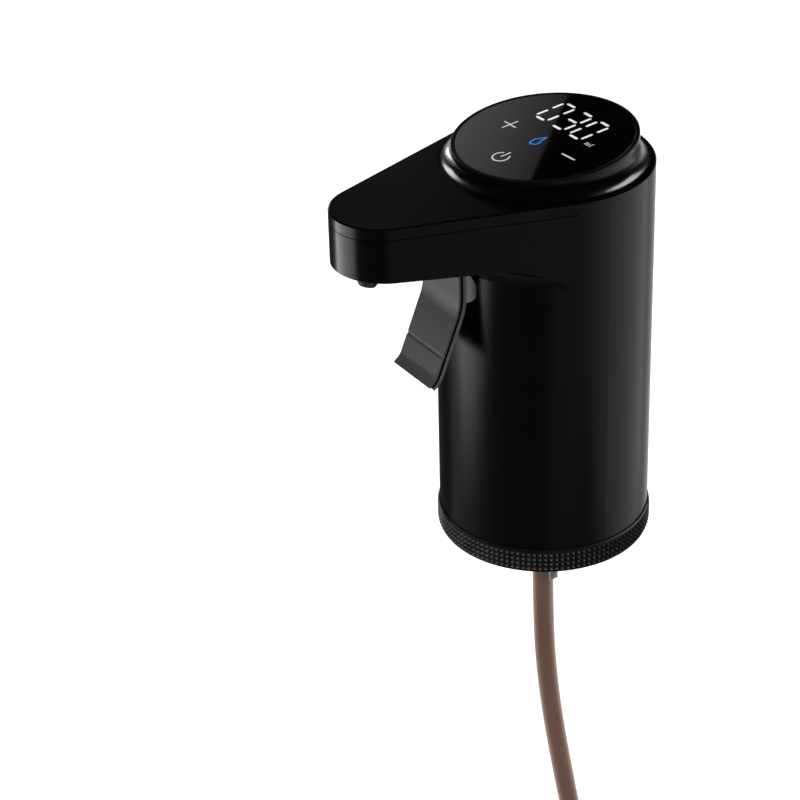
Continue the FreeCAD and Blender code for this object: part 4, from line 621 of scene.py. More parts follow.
@dataclass(frozen=True)
class RubbedKnurlWithPaintedHighlight(Finish):
    """Moulded knurl round the upright axis. Its tips are paler, partly from rubbing and partly
    painted highlight, which makes the facets that face up, and those that face one way round,
    paler.

    Radii are in metres.
    """

    valley_r: float = 0.0291
    tip_r: float = 0.0297
    pale_tip_and_highlight_tone: Colour = (0.12, 0.12, 0.12)
    valley_share: float = 0.2
    painted_top_highlight_share: float = 0.3
    painted_highlight_span: Span = (0.1, 0.5)
    patch_cells: float = 240.0
    patches: Span = (0.7, 1.0)
    patch_span: Span = (0.35, 0.65)

    def _colour(self, bench: Bench, surface: Node) -> None:
        """Colour of the knurl, from its valleys to its tips, with painted highlight on the facets
        that face up or face one way round.

        Args:
            bench: Bench of the material.
            surface: Its shader.
        """
        super()._colour(bench, surface)
        plain = surface.inputs["Base Color"].links[0].from_socket
        place = bench.place()
        x, y, _ = bench.split(place)
        radius = bench.off_axis(x, y)
        outward = bench.remap(radius, (self.valley_share, 1.0), (self.valley_r, self.tip_r))
        # Painted highlight: facets that face one way round, or face up, take more of the pale tip
        # tone.
        lean_x, lean_y, lean_z = bench.split(bench.put("TexCoord").outputs["Normal"])
        turned = bench.math("SUBTRACT", bench.math("MULTIPLY", x, lean_y),
                            bench.math("MULTIPLY", y, lean_x))
        side_highlight_mask = bench.remap(bench.math("DIVIDE", turned, radius), FULL, self.painted_highlight_span)
        upper = bench.remap(lean_z, (0.0, self.painted_top_highlight_share), self.painted_highlight_span)
        wear_and_highlight = bench.math("MULTIPLY", outward, bench.math("ADD", side_highlight_mask, upper))
        patchy = bench.remap(bench.noise(place, self.patch_cells), self.patches, self.patch_span)
        share = bench.math("MULTIPLY", wear_and_highlight, patchy, clamp=True)
        bench.feed(surface.inputs["Base Color"], bench.blend(share, plain, self.pale_tip_and_highlight_tone))


@dataclass(frozen=True)
class GlowingMark(Look):
    """Lit mark behind the display's glass, a little uneven. Cells are per metre."""

    colour: Colour
    strength: float
    base: float = 0.004
    roughness: float = 0.06
    dim: float = 0.82
    cells: float = 700.0
    uneven_span: Span = (0.35, 0.65)

    def _surface(self, bench: Bench) -> None:
        """Build the shader with its uneven glow.

        Args:
            bench: Bench of the material.
        """
        uneven = bench.remap(bench.noise(bench.place(), self.cells, 1.0), FULL, self.uneven_span)
        dimmer = tuple(self.dim * part for part in self.colour)
        bench.show(bench.put("BsdfPrincipled", {
            "Base Color": grey(self.base), "Roughness": self.roughness,
            "Emission Color": bench.blend(uneven, dimmer, self.colour),
            "Emission Strength": self.strength}))


SATIN_BLACK = Finish(
    "satin_black", grey(0.0005), grey(0.0008), roughness=0.22,
    roughness_spread=0.015, specular=0.015, grain_cells=5200.0, grain_depth=1.8e-6, wear=0.2,
    wear_tone=grey(0.006), dust=0.003)
COVER_BLACK = PolishedFlare(
    "cover_black", grey(0.0005), grey(0.0008), roughness=0.22,
    roughness_spread=0.015, specular=0.015, grain_cells=5200.0, grain_depth=1.8e-6, wear=0.2,
    wear_tone=grey(0.006), dust=0.002, coat_roughness=0.18)
# Knurl with rubbed tips and painted highlight on its upward and one-way facets.
RING_BLACK = RubbedKnurlWithPaintedHighlight(
    "ring_black", grey(0.0012), grey(0.0018), roughness=0.2, specular=0.024,
    grain_cells=6000.0, grain_depth=1e-6, wear=0.0)
LEVER_BLACK = Finish(
    "lever_black", grey(0.046), grey(0.056), roughness=0.3,
    roughness_spread=0.02, specular=0.006, grain_cells=5200.0, grain_depth=1.5e-6,
    wear_tone=grey(0.1))
LEVER_GREY = Finish(
    "lever_grey", grey(0.04), grey(0.05), roughness=0.36, specular=0.2,
    grain_cells=3600.0, grain_depth=3e-6, wear_tone=grey(0.09), dust=0.02)
INNER_BLACK = Finish(
    "inner_black", grey(0.004), grey(0.006), roughness=0.42, specular=0.12,
    grain_cells=2600.0, grain_depth=5e-6, wear=0.2, wear_tone=grey(0.03), dust=0.02)
NOZZLE_BLACK = Finish(
    "nozzle_black", grey(0.002), grey(0.003), roughness=0.22, specular=0.1,
    grain_cells=4200.0, grain_depth=2e-6)
BEZEL_BLACK = Finish(
    "bezel_black", grey(0.002), grey(0.003), roughness=0.14,
    roughness_spread=0.02, specular=0.012, grain=Effect.DRAWN_LINES, grain_cells=5000.0,
    grain_depth=1e-6, wear_tone=grey(0.03))
DARK_GLASS = GroundGlass(
    "dark_glass", grey(0.0003), grey(0.0005), roughness=0.03,
    roughness_spread=0.01, grain_cells=900.0, grain_depth=0.0, wear=0.0)
BARE_STEEL = Finish(
    "bare_steel", (0.56, 0.56, 0.57), (0.63, 0.63, 0.64), roughness=0.28,
    metallic=1.0, grain=Effect.DRAWN_LINES, grain_cells=6000.0, grain_depth=3e-6,
    wear_tone=grey(0.8))
DARK_NICKEL = Finish(
    "dark_nickel", grey(0.05), grey(0.065), roughness=0.38, metallic=1.0,
    grain=Effect.DRAWN_LINES, grain_cells=6000.0, grain_depth=2e-6,
    wear_tone=grey(0.12))
SILICONE = Finish(
    "silicone", grey(0.03), grey(0.04), roughness=0.55, specular=0.35,
    grain_cells=2200.0, wear=0.2, wear_tone=grey(0.07), dust=0.06, subsurface=0.05)
AMBER_HOSE = Finish(
    "amber_hose", (0.2, 0.085, 0.03), (0.23, 0.1, 0.04), roughness=0.18,
    roughness_spread=0.02, specular=0.3, grain_cells=900.0, grain_depth=5e-7, wear=0.0,
    transmission=0.7, ior=1.41)
CLEAR_HOSE = Finish(
    "clear_hose", (0.72, 0.73, 0.73), (0.66, 0.67, 0.68), roughness=0.3,
    specular=0.45, grain_cells=1400.0, wear=0.0, transmission=0.5, ior=1.41)
PUMP_GREY = Finish(
    "pump_grey", grey(0.2), grey(0.24), roughness=0.48, grain_cells=2400.0,
    grain_depth=6e-6, wear_tone=grey(0.36), dust=0.05)
GEAR_WHITE = Finish(
    "gear_white", (0.72, 0.71, 0.66), (0.66, 0.65, 0.6), roughness=0.35,
    grain_cells=2600.0, grain_depth=3e-6, wear=0.2, wear_tone=grey(0.85), subsurface=0.1)
WOUND_CORE = Finish(
    "wound_core", (0.3, 0.12, 0.05), (0.2, 0.08, 0.04), roughness=0.4,
    metallic=0.6, grain=Effect.DRAWN_LINES, grain_cells=2600.0, grain_depth=2e-5, wear=0.2,
    wear_tone=(0.5, 0.25, 0.12))
CELL_WRAP = Finish(
    "cell_wrap", (0.03, 0.16, 0.3), (0.025, 0.13, 0.26), roughness=0.3,
    coat=0.4, grain_cells=800.0, grain_depth=1e-5, wear_tone=(0.1, 0.28, 0.42))
BOARD_GREEN = Finish(
    "board_green", (0.012, 0.09, 0.04), (0.009, 0.07, 0.03), roughness=0.32,
    coat=0.5, grain_cells=1600.0, grain_depth=5e-6, wear=0.2, wear_tone=(0.3, 0.25, 0.1))
CHIP_BLACK = Finish(
    "chip_black", grey(0.02), grey(0.026), roughness=0.55, grain_cells=4200.0,
    grain_depth=6e-6, wear=0.2, wear_tone=grey(0.06))
COPPER = Finish(
    "copper", (0.72, 0.38, 0.2), (0.66, 0.33, 0.17), roughness=0.3,
    metallic=1.0, grain=Effect.DRAWN_LINES, grain_cells=4000.0, grain_depth=3e-6, wear=0.2,
    wear_tone=(0.85, 0.5, 0.3))
FILM_BROWN = Finish(
    "film_brown", (0.36, 0.17, 0.04), (0.3, 0.14, 0.03), roughness=0.3,
    coat=0.5, grain_cells=1200.0, grain_depth=3e-6, wear=0.1)
LED_WHITE = Finish(
    "led_white", grey(0.7), grey(0.62), roughness=0.45, grain_cells=2200.0,
    wear=0.2, wear_tone=grey(0.8))
LIT_WHITE = GlowingMark("lit_white", (0.92, 0.95, 1.0), 0.95)
LIT_SOFT = GlowingMark("lit_soft", (0.85, 0.88, 0.92), 0.7)
LIT_BLUE = GlowingMark("lit_blue", (0.03, 0.24, 0.8), 0.9)


def dress(finish: Finish, *names: str) -> None:
    """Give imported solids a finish.

    Args:
        finish: Finish that their slots take.
        names: Names of the solids.
    """
    material = finish.material()
    for name in names:
        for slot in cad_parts[name].material_slots:
            slot.material = material
        LOG.info("dressed %s with %s", name, material.name)


# ---------------------------------------------------------------------------- studio
@dataclass(frozen=True)
class Panel:
    """Upright card that only gloss sees.

    Its ends are (right, front) of the axis as the camera sees it, in millimetres. Its glow is
    given for the start's foot, the end's foot, the end's top and the start's top.
    """

    name: str
    start: Point
    end: Point
    heights: Span
    glow: tuple[float, float, float, float]


@dataclass(frozen=True)
class SoftBox:
    """Lamp that faces the dispenser. Its place and size are in metres, its power in watts."""

    name: str
    place: Place
    size: Point
    power: float


@dataclass
class Studio:
    """Camera, backdrop, floor, lamps and cards. Sizes are in millimetres and degrees."""

    focal_px: float = 2585.682
    image_px: float = 800.0
    sensor_width: float = 36.0
    near_clip: float = 10.0
    azimuth: float = 58.312
    elevation: float = 30.345
    roll: float = -1.626
    eye: Place = (500.226, -355.151, 384.833)
    soft_light: float = 0.72
    mirror_ramp: tuple[Point, Point] = ((0.03, 1.0), (0.22, 0.005))
    floor_z: float = -262.6
    floor_size: float = 12000.0
    floor_level: float = 0.93
    floor_roughness: float = 0.9
    floor_lift: float = 0.14
    lamp_target: Place = (0.0, -15.0, 50.0)
    lamps: tuple[SoftBox, ...] = (
        SoftBox("left_box", (-1.15, -0.55, 0.35), (0.5, 1.3), 9.0),
        SoftBox("right_box", (0.1, 1.35, 0.3), (0.6, 1.3), 9.0),
        SoftBox("top_box", (0.2, -0.3, 1.7), (1.0, 1.0), 14.0))
    card_distance: float = 800.0
    card_width: float = 105.0
    card_spread: float = 3.0
    card_glow: Span = (0.18, 1.07)
    card_edge: tuple[Point, Point] = ((-15.0, 18.2), (14.9, -14.2))
    nose: Point = (0.0, -60.0)
    strip_distance: float = 350.0
    strip_outline: tuple[Point, ...] = (
        (-45.0, -205.0), (70.0, -205.0), (110.0, -155.0), (200.0, -112.0), (200.0, 40.0),
        (-128.0, 40.0), (-128.0, -105.0), (-60.0, -150.0))
    strip_glow: Span = (0.0, 40.0)
    strip_rise: Span = (-192.0, -95.0)
    panels: tuple[Panel, ...] = (
        Panel("front_panel", (20.0, 400.0), (350.0, 400.0), (-258.0, -60.0),
              (3.0, 4.6, 6.0, 3.8)),
        Panel("right_front", (350.0, 400.0), (350.0, 80.0), (-258.0, 60.0),
              (4.0, 7.2, 14.0, 6.6)),
        Panel("right_back", (350.0, 80.0), (350.0, -262.0), (-258.0, 60.0),
              (7.2, 3.2, 6.5, 14.0)),
        Panel("right_high", (350.0, -180.0), (230.0, -350.0), (330.0, 620.0),
              (6.0, 4.0, 9.0, 9.0)),
        Panel("left_high", (-150.0, -320.0), (-260.0, -250.0), (245.0, 375.0),
              (9.0, 9.0, 7.0, 7.0)),
        Panel("rim_card", (-330.0, -250.0), (-140.0, -400.0), (5.0, 90.0),
              (10.0, 10.0, 10.0, 10.0)),
        Panel("left_flag", (-350.0, -200.0), (-15.0, -420.0), (-258.0, 0.0),
              (0.1, 0.1, 0.1, 0.1)))

    def build(self) -> None:
        """Set up the camera, backdrop, floor, lamps and cards."""
        self.set_camera()
        self.set_world()
        self.lay_floor()
        self.hang_lamps()
        self.hang_card()
        self.stand_strip()
        self.stand_panels()
        bpy.context.scene.view_settings.view_transform = "Standard"

    def ground_axes(self) -> tuple[Vector, Vector]:
        """Level directions to the right and to the front, as the camera sees them."""
        turn = math.radians(self.azimuth)
        right = Vector((math.cos(turn), math.sin(turn), 0.0))
        front = Vector((math.sin(turn), -math.cos(turn), 0.0))
        return right, front

    def view_axes(self) -> tuple[Vector, Vector, Vector]:
        """Directions of the view.

        Returns:
            Right, up and backwards, as unit vectors.
        """
        tilt, roll = math.radians(self.elevation), math.radians(self.roll)
        right, front = self.ground_axes()
        back = front * math.cos(tilt) + UP * math.sin(tilt)
        up = back.cross(right)
        turned_right = right * math.cos(roll) + up * math.sin(roll)
        turned_up = up * math.cos(roll) - right * math.sin(roll)
        return turned_right, turned_up, back

    def set_camera(self) -> None:
        """Camera that looks down on the dispenser from its front right."""
        data = bpy.data.cameras.new("studio_camera")
        data.sensor_width = self.sensor_width
        data.lens = self.focal_px / self.image_px * self.sensor_width
        data.clip_start = self.near_clip * MM
        camera = bpy.data.objects.new("studio_camera", data)
        turn = Matrix(self.view_axes()).transposed().to_4x4()
        camera.matrix_world = Matrix.Translation(mm(*self.eye)) @ turn
        bpy.context.scene.collection.objects.link(camera)
        bpy.context.scene.camera = camera
        LOG.info("camera set")

    def set_world(self) -> None:
        """White backdrop with soft light. Gloss sees it white up to a low line and dim above."""
        world = bpy.data.worlds.new("studio")
        bpy.context.scene.world = world
        world.use_nodes = True
        bench = Bench(world.node_tree)
        _, _, height = bench.split(bench.put("TexCoord").outputs["Generated"])
        ramp = bench.put("ValToRGB", {0: height})
        for step, (position, level) in zip(ramp.color_ramp.elements, self.mirror_ramp):
            step.position = position
            step.color = (*grey(level), 1.0)
        white = bench.put("Background", {"Color": grey(1.0), "Strength": 1.0})
        mirrored = bench.put("Background", {"Color": ramp.outputs["Color"]})
        soft = bench.put("Background", {"Color": grey(1.0), "Strength": self.soft_light})
        unseen = bench.mix_shaders(bench.is_ray("Glossy"), soft, mirrored)
        seen = bench.is_ray("Camera", "Transmission")
        bench.show(bench.mix_shaders(seen, unseen, white), "OutputWorld")

    def lay_floor(self) -> None:
        """Plain pale floor that keeps the dispenser's shadow, lifted a little where it is seen."""
        made, bench = new_material("pale_floor")
        matt = bench.put("BsdfPrincipled", {
            "Base Color": grey(self.floor_level), "Roughness": self.floor_roughness,
            "Specular IOR Level": 0.0})
        dark = bench.put("Emission", {"Strength": 0.0})
        lift = bench.put("Emission", {"Strength": self.floor_lift})
        seen = bench.is_ray("Camera", "Transmission", "Glossy")
        pick = bench.mix_shaders(seen, dark, lift)
        bench.show(bench.put("AddShader", {0: matt.outputs[0], 1: pick.outputs[0]}))
        half = self.floor_size / 2.0
        corners = ((-half, -half), (half, -half), (half, half), (-half, half))
        mesh = bmesh.new()
        mesh.faces.new([mesh.verts.new(mm(x, y, self.floor_z)) for x, y in corners])
        add_mesh("floor", mesh, made, smooth=False)

    def hang_lamps(self) -> None:
        """Soft boxes at the left, right and above. Neither the camera nor gloss sees them."""
        for box in self.lamps:
            data = bpy.data.lights.new(box.name, "AREA")
            data.shape = "RECTANGLE"
            data.size, data.size_y = box.size
            data.energy = box.power
            lamp = bpy.data.objects.new(box.name, data)
            lamp.location = Vector(box.place)
            direction = (lamp.location - mm(*self.lamp_target)).normalized()
            lamp.rotation_euler = direction.to_track_quat("Z", "Y").to_euler()
            lamp.visible_camera = False
            lamp.visible_glossy = False
            bpy.context.scene.collection.objects.link(lamp)

    def mirrored_eye(self) -> Vector:
        """Place of the eye behind the glass, as the glass mirrors it, in metres."""
        normal = Vector((0.0, -GLASS_SLOPE, 1.0)).normalized()
        eye = mm(*self.eye)
        return eye - normal * 2.0 * (eye - on_glass(0.0, 0.0)).dot(normal)

    def hang_card(self) -> None:
        """Card whose straight edge shows across the display's glass, bright towards the nose."""
        start = self.mirrored_eye()
        ends = [on_glass(x, y) for x, y in self.card_edge]
        rays = [(end - start).normalized() for end in ends]
        line = (ends[0] + ends[1]) / 2.0 - start
        middle = line.normalized()
        reach = self.card_distance * MM + line.length
        points = [start + ray * (reach / ray.dot(middle)) for ray in rays]
        centre = (points[0] + points[1]) / 2.0
        along = (points[1] - points[0]) * self.card_spread
        side = middle.cross(along).normalized()
        if side.dot(mm(*self.nose, GLASS_Z) - start) < 0:
            side = -side
        a, b = centre - along, centre + along
        wide = side * self.card_width * MM
        self.add_card("reflection_card", (a, b, b + wide, a + wide), (0, 0, 1, 1), self.card_glow)

    def add_card(self, name: str, corners: Sequence[Vector], shares: Sequence[float],
                 glow: Span) -> None:
        """Add a glowing card that only gloss sees.

        Args:
            name: Name of the card.
            corners: Its corners in order, in metres.
            shares: For each corner, 0 where the card has its first strength, 1 its second.
            glow: First and second strength.
        """
        mesh = bmesh.new()
        layer = mesh.loops.layers.uv.new("across")
        face = mesh.faces.new([mesh.verts.new(c) for c in corners])
        for loop, share in zip(face.loops, shares):
            loop[layer].uv = (0.5, share)
        made, bench = new_material(name)
        _, share, _ = bench.split(bench.put("UVMap", uv_map="across").outputs[0])
        bench.show(bench.put("Emission", {"Strength": bench.remap(share, glow)}))
        card = add_mesh(name, mesh, made, smooth=False)
        card.visible_camera = False
        card.visible_diffuse = False
        card.visible_shadow = False
        card.visible_transmission = False
        LOG.info("%s hung", name)

    def stand_strip(self) -> None:
        """Shaped card left of the dispenser, for the soft upright band in its gloss."""
        right, front = self.ground_axes()
        low, high = self.strip_rise
        corners = [(front * reach - right * self.strip_distance + UP * z) * MM
                   for reach, z in self.strip_outline]
        shares = [(z - low) / (high - low) for _, z in self.strip_outline]
        self.add_card("left_strip", corners, shares, self.strip_glow)

    def stand_panels(self) -> None:
        """Cards beside and behind the dispenser, for the bands and rims in its gloss."""
        right, front = self.ground_axes()
        for panel in self.panels:
            start, end = (right * side + front * reach for side, reach in (panel.start, panel.end))
            low, high = (UP * z for z in panel.heights)
            corners = [spot * MM for spot in (start + low, end + low, end + high, start + high)]
            peak = max(panel.glow)
            self.add_card(panel.name, corners, [glow / peak for glow in panel.glow], (0.0, peak))


# ---------------------------------------------------------------------------- dip tube
@dataclass
class DipTube:
    """Free hose that hangs from the stopper. Sizes are in metres."""

    route: tuple[Place, ...] = (
        (0.0, 0.0, -0.026), (0.0, 0.0, -0.05), (0.0, 0.0025, -0.077), (0.0, 0.0074, -0.106),
        (0.0, 0.0134, -0.137), (0.0, 0.0194, -0.17), (0.0, 0.024, -0.205),
        (0.0, 0.0266, -0.24), (0.0, 0.0272, -0.262))
    radius: float = 0.003
    bore: float = 0.0021
    length: float = 0.238
    sides: int = 32
    steps: int = 24

    def centre_line(self) -> list[Vector]:
        """Smooth line through the middle of the hose.

        Returns:
            Points along the route's spline.
        """
        curve = bpy.data.curves.new("hose_line", "CURVE")
        curve.dimensions = "3D"
        curve.resolution_u = self.steps
        spline = curve.splines.new("NURBS")
        spline.points.add(len(self.route) - 1)
        for point, place in zip(spline.points, self.route):
            point.co = (*place, 1.0)
        spline.order_u = 3
        spline.use_endpoint_u = True
        line = bpy.data.objects.new("hose_line", curve)
        bpy.context.scene.collection.objects.link(line)
        bpy.context.view_layer.update()
        data = bpy.data.meshes.new_from_object(line)
        points = [v.co.copy() for v in data.vertices]
        bpy.data.objects.remove(line)
        bpy.data.meshes.remove(data)
        return points

    def build(self) -> None:
        line = self.centre_line()
        across = Vector((1.0, 0.0, 0.0))
        mesh = bmesh.new()
        outer: list[Ring] = []
        inner: list[Ring] = []
        for index, centre in enumerate(line):
            ahead = line[min(index + 1, len(line) - 1)] - line[max(index - 1, 0)]
            other = ahead.normalized().cross(across)
            outer.append(add_ring(mesh, centre, across, other, self.radius, self.sides))
            inner.append(add_ring(mesh, centre, across, other, self.bore, self.sides))
        skin(mesh, outer)
        skin(mesh, inner)
        for end in (0, -1):
            skin(mesh, (outer[end], inner[end]))
        tube = add_mesh("hanging_hose", mesh, AMBER_HOSE.material())
        place_on(tube, "device", ["dip_tube"])


# ---------------------------------------------------------------------------- display
@dataclass
class Ink:
    """Flat marks gathered on the tilted glass, in millimetres."""

    lift: float = 0.03
    outlines: list[list[Point]] = field(default_factory=list)

    def bar(self, start: Point, end: Point, width: float, pointed: bool = False) -> None:
        """Add a straight bar.

        Args:
            start: One end.
            end: The other end.
            width: Width of the bar.
            pointed: Whether its ends run to points, as a display's segments do.
        """
        a, b = Vector(start), Vector(end)
        along = (b - a).normalized()
        across = Vector((-along.y, along.x)) * width / 2.0
        if pointed:
            tip = along * width / 2.0
            ring = [a, a + tip + across, b - tip + across, b, b - tip - across, a + tip - across]
        else:
            ring = [a + across, b + across, b - across, a - across]
        self.outlines.append([(p.x, p.y) for p in ring])

    def stroke(self, points: Sequence[Point], width: float, closed: bool = False) -> None:
        """Add a line of even width through points.

        Args:
            points: Points of the line.
            width: Width of the line.
            closed: Whether it runs back to its first point.
        """
        path = [Vector(p) for p in points]
        count = len(path)
        sides: list[tuple[Point, Point]] = []
        for i, here in enumerate(path):
            before = path[(i - 1) % count] if closed or i > 0 else here
            after = path[(i + 1) % count] if closed or i < count - 1 else here
            along = (after - before).normalized()
            across = Vector((-along.y, along.x)) * width / 2.0
            left, right = here + across, here - across
            sides.append(((left.x, left.y), (right.x, right.y)))
        runs = list(zip(sides, sides[1:])) + ([(sides[-1], sides[0])] if closed else [])
        for (a, b), (c, d) in runs:
            self.outlines.append([a, c, d, b])

    def piece(self, name: str, mark: GlowingMark) -> None:
        """Make the gathered marks as one thin piece on the glass.

        Args:
            name: Name of the piece.
            mark: Its finish.
        """
        mesh = bmesh.new()
        for ring in self.outlines:
            top = [mesh.verts.new(on_glass(x, y, self.lift)) for x, y in ring]
            low = [mesh.verts.new(on_glass(x, y, -self.lift)) for x, y in ring]
            mesh.faces.new(top)
            mesh.faces.new(list(reversed(low)))
            for i in range(len(ring)):
                n = (i + 1) % len(ring)
                mesh.faces.new((top[i], low[i], low[n], top[n]))
        place_on(add_mesh(name, mesh, mark.material(), smooth=False), "device")


class Segment(Enum):
    """Segments of one digit."""

    TOP = "top"
    MIDDLE = "middle"
    FOOT = "foot"
    UPPER_LEFT = "upper_left"
    UPPER_RIGHT = "upper_right"
    LOWER_LEFT = "lower_left"
    LOWER_RIGHT = "lower_right"


ZERO = [s for s in Segment if s is not Segment.MIDDLE]
THREE = [s for s in Segment if s not in (Segment.UPPER_LEFT, Segment.LOWER_LEFT)]


@dataclass
class DisplayFace:
    """Tilted round display: bezel, glass, lit digits and touch marks. Sizes are in millimetres."""

    digit_width: float = 4.75
    digit_height: float = 10.0
    digit_stroke: float = 0.78
    digit_gap: float = 0.62
    lean: float = 0.02
    digit_places: tuple[Point, ...] = ((-9.02, 9.9), (-1.73, 10.05), (5.62, 10.1))
    unit_place: Point = (10.7, 4.75)
    unit_line: float = 0.24
    unit_strokes: tuple[tuple[Point, ...], ...] = (
        ((0.0, 0.0), (0.0, 1.15), (0.35, 1.15), (0.6, 0.95), (0.6, 0.0)),
        ((0.95, 1.15), (0.95, 1.15), (1.2, 0.95), (1.2, 0.0)))
    unit_bar: tuple[Point, Point] = ((2.0, 0.0), (2.0, 1.75))
    line: float = 0.42
    minus: tuple[Point, Point] = ((10.9, -2.35), (16.0, -2.05))
    minus_line: float = 0.55
    plus_centre: Point = (-11.68, -2.87)
    plus_reach: float = 2.55
    power_centre: Point = (1.35, -14.7)
    power_r: float = 2.25
    power_gap: float = 35.0
    power_steps: int = 40
    power_bar: tuple[Point, Point] = ((-0.1, 0.0), (-0.05, 3.1))
    drop_line: float = 0.45
    drop_outline: tuple[Point, ...] = (
        (1.0, 0.0), (0.76, -0.69), (-0.01, -2.08), (-0.33, -3.31), (0.38, -4.97),
        (1.67, -4.71), (2.23, -3.66), (1.58, -2.24))
    drop_steps: int = 4

    def build(self) -> None:
        """Dress the display's solids and lay the marks."""
        dress(BEZEL_BLACK, "display_bezel")
        dress(DARK_GLASS, "display_glass")
        dress(BOARD_GREEN, "display_board")
        dress(LED_WHITE, "led_block")
        dress(COPPER, "touch_pads")
        self.lay_digits()
        self.lay_unit()
        self.lay_keys()
        self.lay_drop()

    def lay_digits(self) -> None:
        """Lit digits of the amount."""
        ink = Ink()
        for centre, lit in zip(self.digit_places, (ZERO, THREE, ZERO)):
            self.digit(ink, centre, lit)
        ink.piece("digits", LIT_WHITE)

    def digit(self, ink: Ink, centre: Point, lit: Sequence[Segment]) -> None:
        """Add one digit.

        Args:
            ink: Marks that it joins.
            centre: Middle of the digit.
            lit: Segments that are lit.
        """
        half_w, half_h, g = self.digit_width / 2.0, self.digit_height / 2.0, self.digit_gap
        ends = {
            Segment.TOP: ((-half_w + g, half_h), (half_w - g, half_h)),
            Segment.MIDDLE: ((-half_w + g, 0.0), (half_w - g, 0.0)),
            Segment.FOOT: ((-half_w + g, -half_h), (half_w - g, -half_h)),
            Segment.UPPER_LEFT: ((-half_w, g), (-half_w, half_h - g)),
            Segment.UPPER_RIGHT: ((half_w, g), (half_w, half_h - g)),
            Segment.LOWER_LEFT: ((-half_w, -half_h + g), (-half_w, -g)),
            Segment.LOWER_RIGHT: ((half_w, -half_h + g), (half_w, -g)),
        }
        for segment in lit:
            start, end = ((centre[0] + x, centre[1] + y + self.lean * x)
                          for x, y in ends[segment])
            ink.bar(start, end, self.digit_stroke, pointed=True)

    def lay_unit(self) -> None:
        """Small millilitre mark beside the digits."""
        ink = Ink()
        for stroke in self.unit_strokes:
            ink.stroke(self.shifted(stroke, self.unit_place), self.unit_line)
        ink.bar(*self.shifted(self.unit_bar, self.unit_place), self.unit_line)
        ink.piece("unit_mark", LIT_SOFT)

    def lay_keys(self) -> None:
        """Marks of the touch keys: minus, plus, and a ring with a gap and a bar for the switch."""
        ink = Ink()
        ink.bar(*self.minus, self.minus_line)
        (x, y), reach = self.plus_centre, self.plus_reach
        ink.bar((x - reach, y), (x + reach, y), self.line)
        ink.bar((x, y - reach), (x, y + reach), self.line)
        span = 360.0 - 2.0 * self.power_gap
        turns = [math.radians(90.0 + self.power_gap + span * k / self.power_steps)
                 for k in range(self.power_steps + 1)]
        ring = [(self.power_r * math.cos(t), self.power_r * math.sin(t)) for t in turns]
        ink.stroke(self.shifted(ring, self.power_centre), self.line)
        ink.bar(*self.shifted(self.power_bar, self.power_centre), self.line)
        ink.piece("touch_marks", LIT_SOFT)

    def lay_drop(self) -> None:
        """Blue drop that shows the pump's state."""
        ink = Ink()
        ink.stroke(self.rounded(self.drop_outline), self.drop_line, closed=True)
        ink.piece("drop_mark", LIT_BLUE)

    @staticmethod
    def shifted(points: Sequence[Point], offset: Point) -> list[Point]:
        """Points moved by an offset."""
        return [(offset[0] + x, offset[1] + y) for x, y in points]

    def rounded(self, points: Sequence[Point]) -> list[Point]:
        """Closed outline smoothed between its points, with its first point kept sharp.

        Args:
            points: Corners of the outline.

        Returns:
            More points along a smooth outline.
        """
        count = len(points)
        result: list[Point] = [points[0]]
        for i in range(1, count):
            p0, p1 = Vector(points[i - 1]), Vector(points[i])
            p2, p3 = Vector(points[(i + 1) % count]), Vector(points[(i + 2) % count])
            for k in range(self.drop_steps):
                t = k / self.drop_steps
                spot = 0.5 * (2 * p1 + (p2 - p0) * t + (2 * p0 - 5 * p1 + 4 * p2 - p3) * t * t
                              + (3 * p1 - 3 * p2 + p3 - p0) * t * t * t)
                result.append((spot.x, spot.y))
        return result


# ---------------------------------------------------------------------------- other sub-assemblies
@dataclass
class Housing:
    """Round body with its spout arm, and the cover on top."""

    def build(self) -> None:
        """Dress the housing in satin black, and the cover in the same with a polished flare."""
        dress(SATIN_BLACK, "main_housing")
        dress(COVER_BLACK, "top_cover")


@dataclass
class LockRing:
    """Knurled ring at the body's foot."""

    def build(self) -> None:
        """Dress the ring."""
        dress(RING_BLACK, "lock_ring")


@dataclass
class StopperUnit:
    """Stopper that seals the bottle, in its carrier."""

    def build(self) -> None:
        """Dress the carrier, core, seal, gasket, O-ring and valve."""
        dress(INNER_BLACK, "stopper_carrier", "stopper_core")
        dress(SILICONE, "stopper_seal", "lip_gasket", "inlet_o_ring", "air_valve")


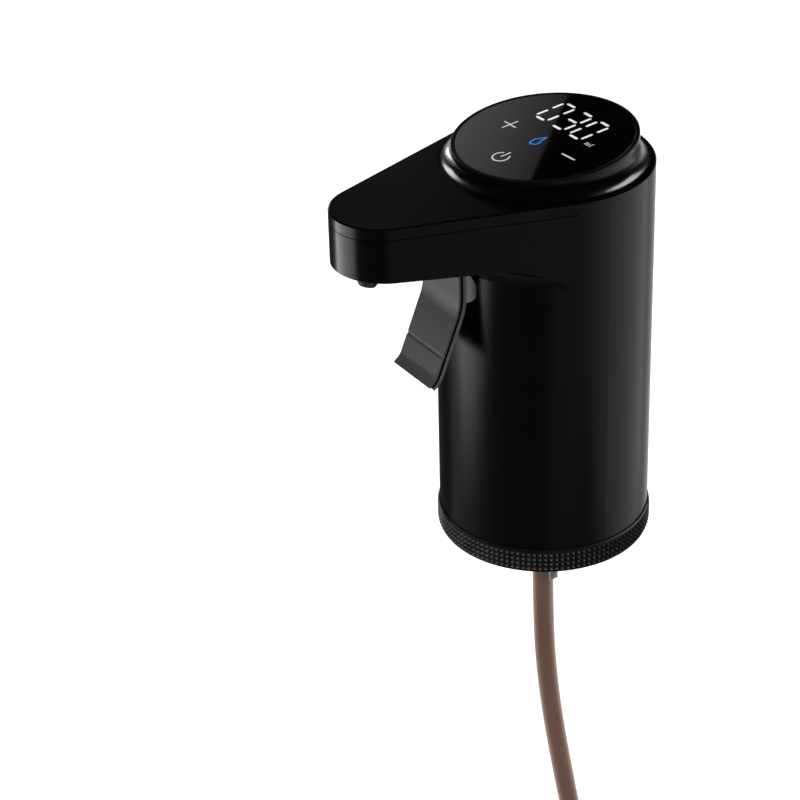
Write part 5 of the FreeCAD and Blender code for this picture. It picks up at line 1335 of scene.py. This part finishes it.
@dataclass
class ReturnSpring:
    """Coil spring over the lever's tail, which shortens as the lever is squeezed.

    Sizes are in metres.
    """

    wire_r: float = 0.000175
    turns: int = 6
    steps: int = 20
    sides: int = 8
    tail_rise: float = 0.00072

    def build(self) -> None:
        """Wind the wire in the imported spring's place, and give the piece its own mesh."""
        low, high = (Vector(corner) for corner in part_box("lever_spring"))
        centre = (low + high) / 2.0
        reach = (high.x - low.x) / 2.0 - self.wire_r
        climb = high.z - low.z - 2.0 * self.wire_r
        count = self.turns * self.steps
        mesh = bmesh.new()
        rings: list[Ring] = []
        for step in range(count + 1):
            turn = 2.0 * math.pi * step / self.steps
            spoke = Vector((math.cos(turn), math.sin(turn), 0.0))
            height = low.z + self.wire_r + climb * step / count
            middle = Vector((centre.x, centre.y, height)) + spoke * reach
            rings.append(add_ring(mesh, middle, spoke, UP, self.wire_r, self.sides))
        skin(mesh, rings)
        mesh.faces.new(list(reversed(rings[0])))
        mesh.faces.new(rings[-1])
        spring = add_mesh("return_spring", mesh, BARE_STEEL.material())
        place_on(spring, "device", ["lever_spring"])
        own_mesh(spring)


@dataclass
class Lever:
    """Squeeze lever under the arm, with its bracket, switch and return spring."""

    spring: ReturnSpring = field(default_factory=ReturnSpring)

    def build(self) -> None:
        """Dress the lever, bracket and switch, and wind the spring."""
        dress(LEVER_BLACK, "lever_plate")
        dress(LEVER_GREY, "lever_arm")
        dress(INNER_BLACK, "lever_backing", "lever_bracket", "micro_switch")
        dress(BARE_STEEL, "lever_pin", "bracket_screws")
        dress(GEAR_WHITE, "switch_plunger")
        self.spring.build()


@dataclass
class Nozzle:
    """Tipped nozzle under the nose."""

    def build(self) -> None:
        """Dress the nozzle, its valve, screws and hose."""
        dress(NOZZLE_BLACK, "nozzle")
        dress(SILICONE, "drip_valve")
        dress(BARE_STEEL, "nozzle_screws")
        dress(CLEAR_HOSE, "outlet_hose")


@dataclass
class Inside:
    """Pump, motor, battery and boards inside the body."""

    def build(self) -> None:
        """Dress everything inside."""
        dress(INNER_BLACK, "base_chassis", "ring_retainer", "motor_end_cap")
        dress(PUMP_GREY, "pump_body", "pump_cover", "motor_mount", "battery_cradle",
              "cradle_pegs")
        dress(BARE_STEEL, "retainer_screws", "base_screws", "pump_bolts", "motor_bolts",
              "idler_shaft", "motor_can", "motor_shaft", "battery_tabs")
        dress(DARK_NICKEL, "charging_port")
        dress(SILICONE, "shaft_seal")
        dress(GEAR_WHITE, "drive_gear", "idler_gear")
        dress(WOUND_CORE, "motor_rotor")
        dress(CELL_WRAP, "battery_cell")
        dress(BOARD_GREEN, "control_board")
        dress(CHIP_BLACK, "board_components")
        dress(FILM_BROWN, "display_ribbon")


def main() -> None:
    """Build the studio and every sub-assembly in order."""
    logging.basicConfig(level=logging.INFO, format="%(name)s: %(message)s")
    Studio().build()
    for part in (DipTube(), DisplayFace(), Housing(), LockRing(), StopperUnit(), Lever(),
                 Nozzle(), Inside()):
        part.build()
        LOG.info("%s built", type(part).__name__)


if __name__ == "__main__":
    main()
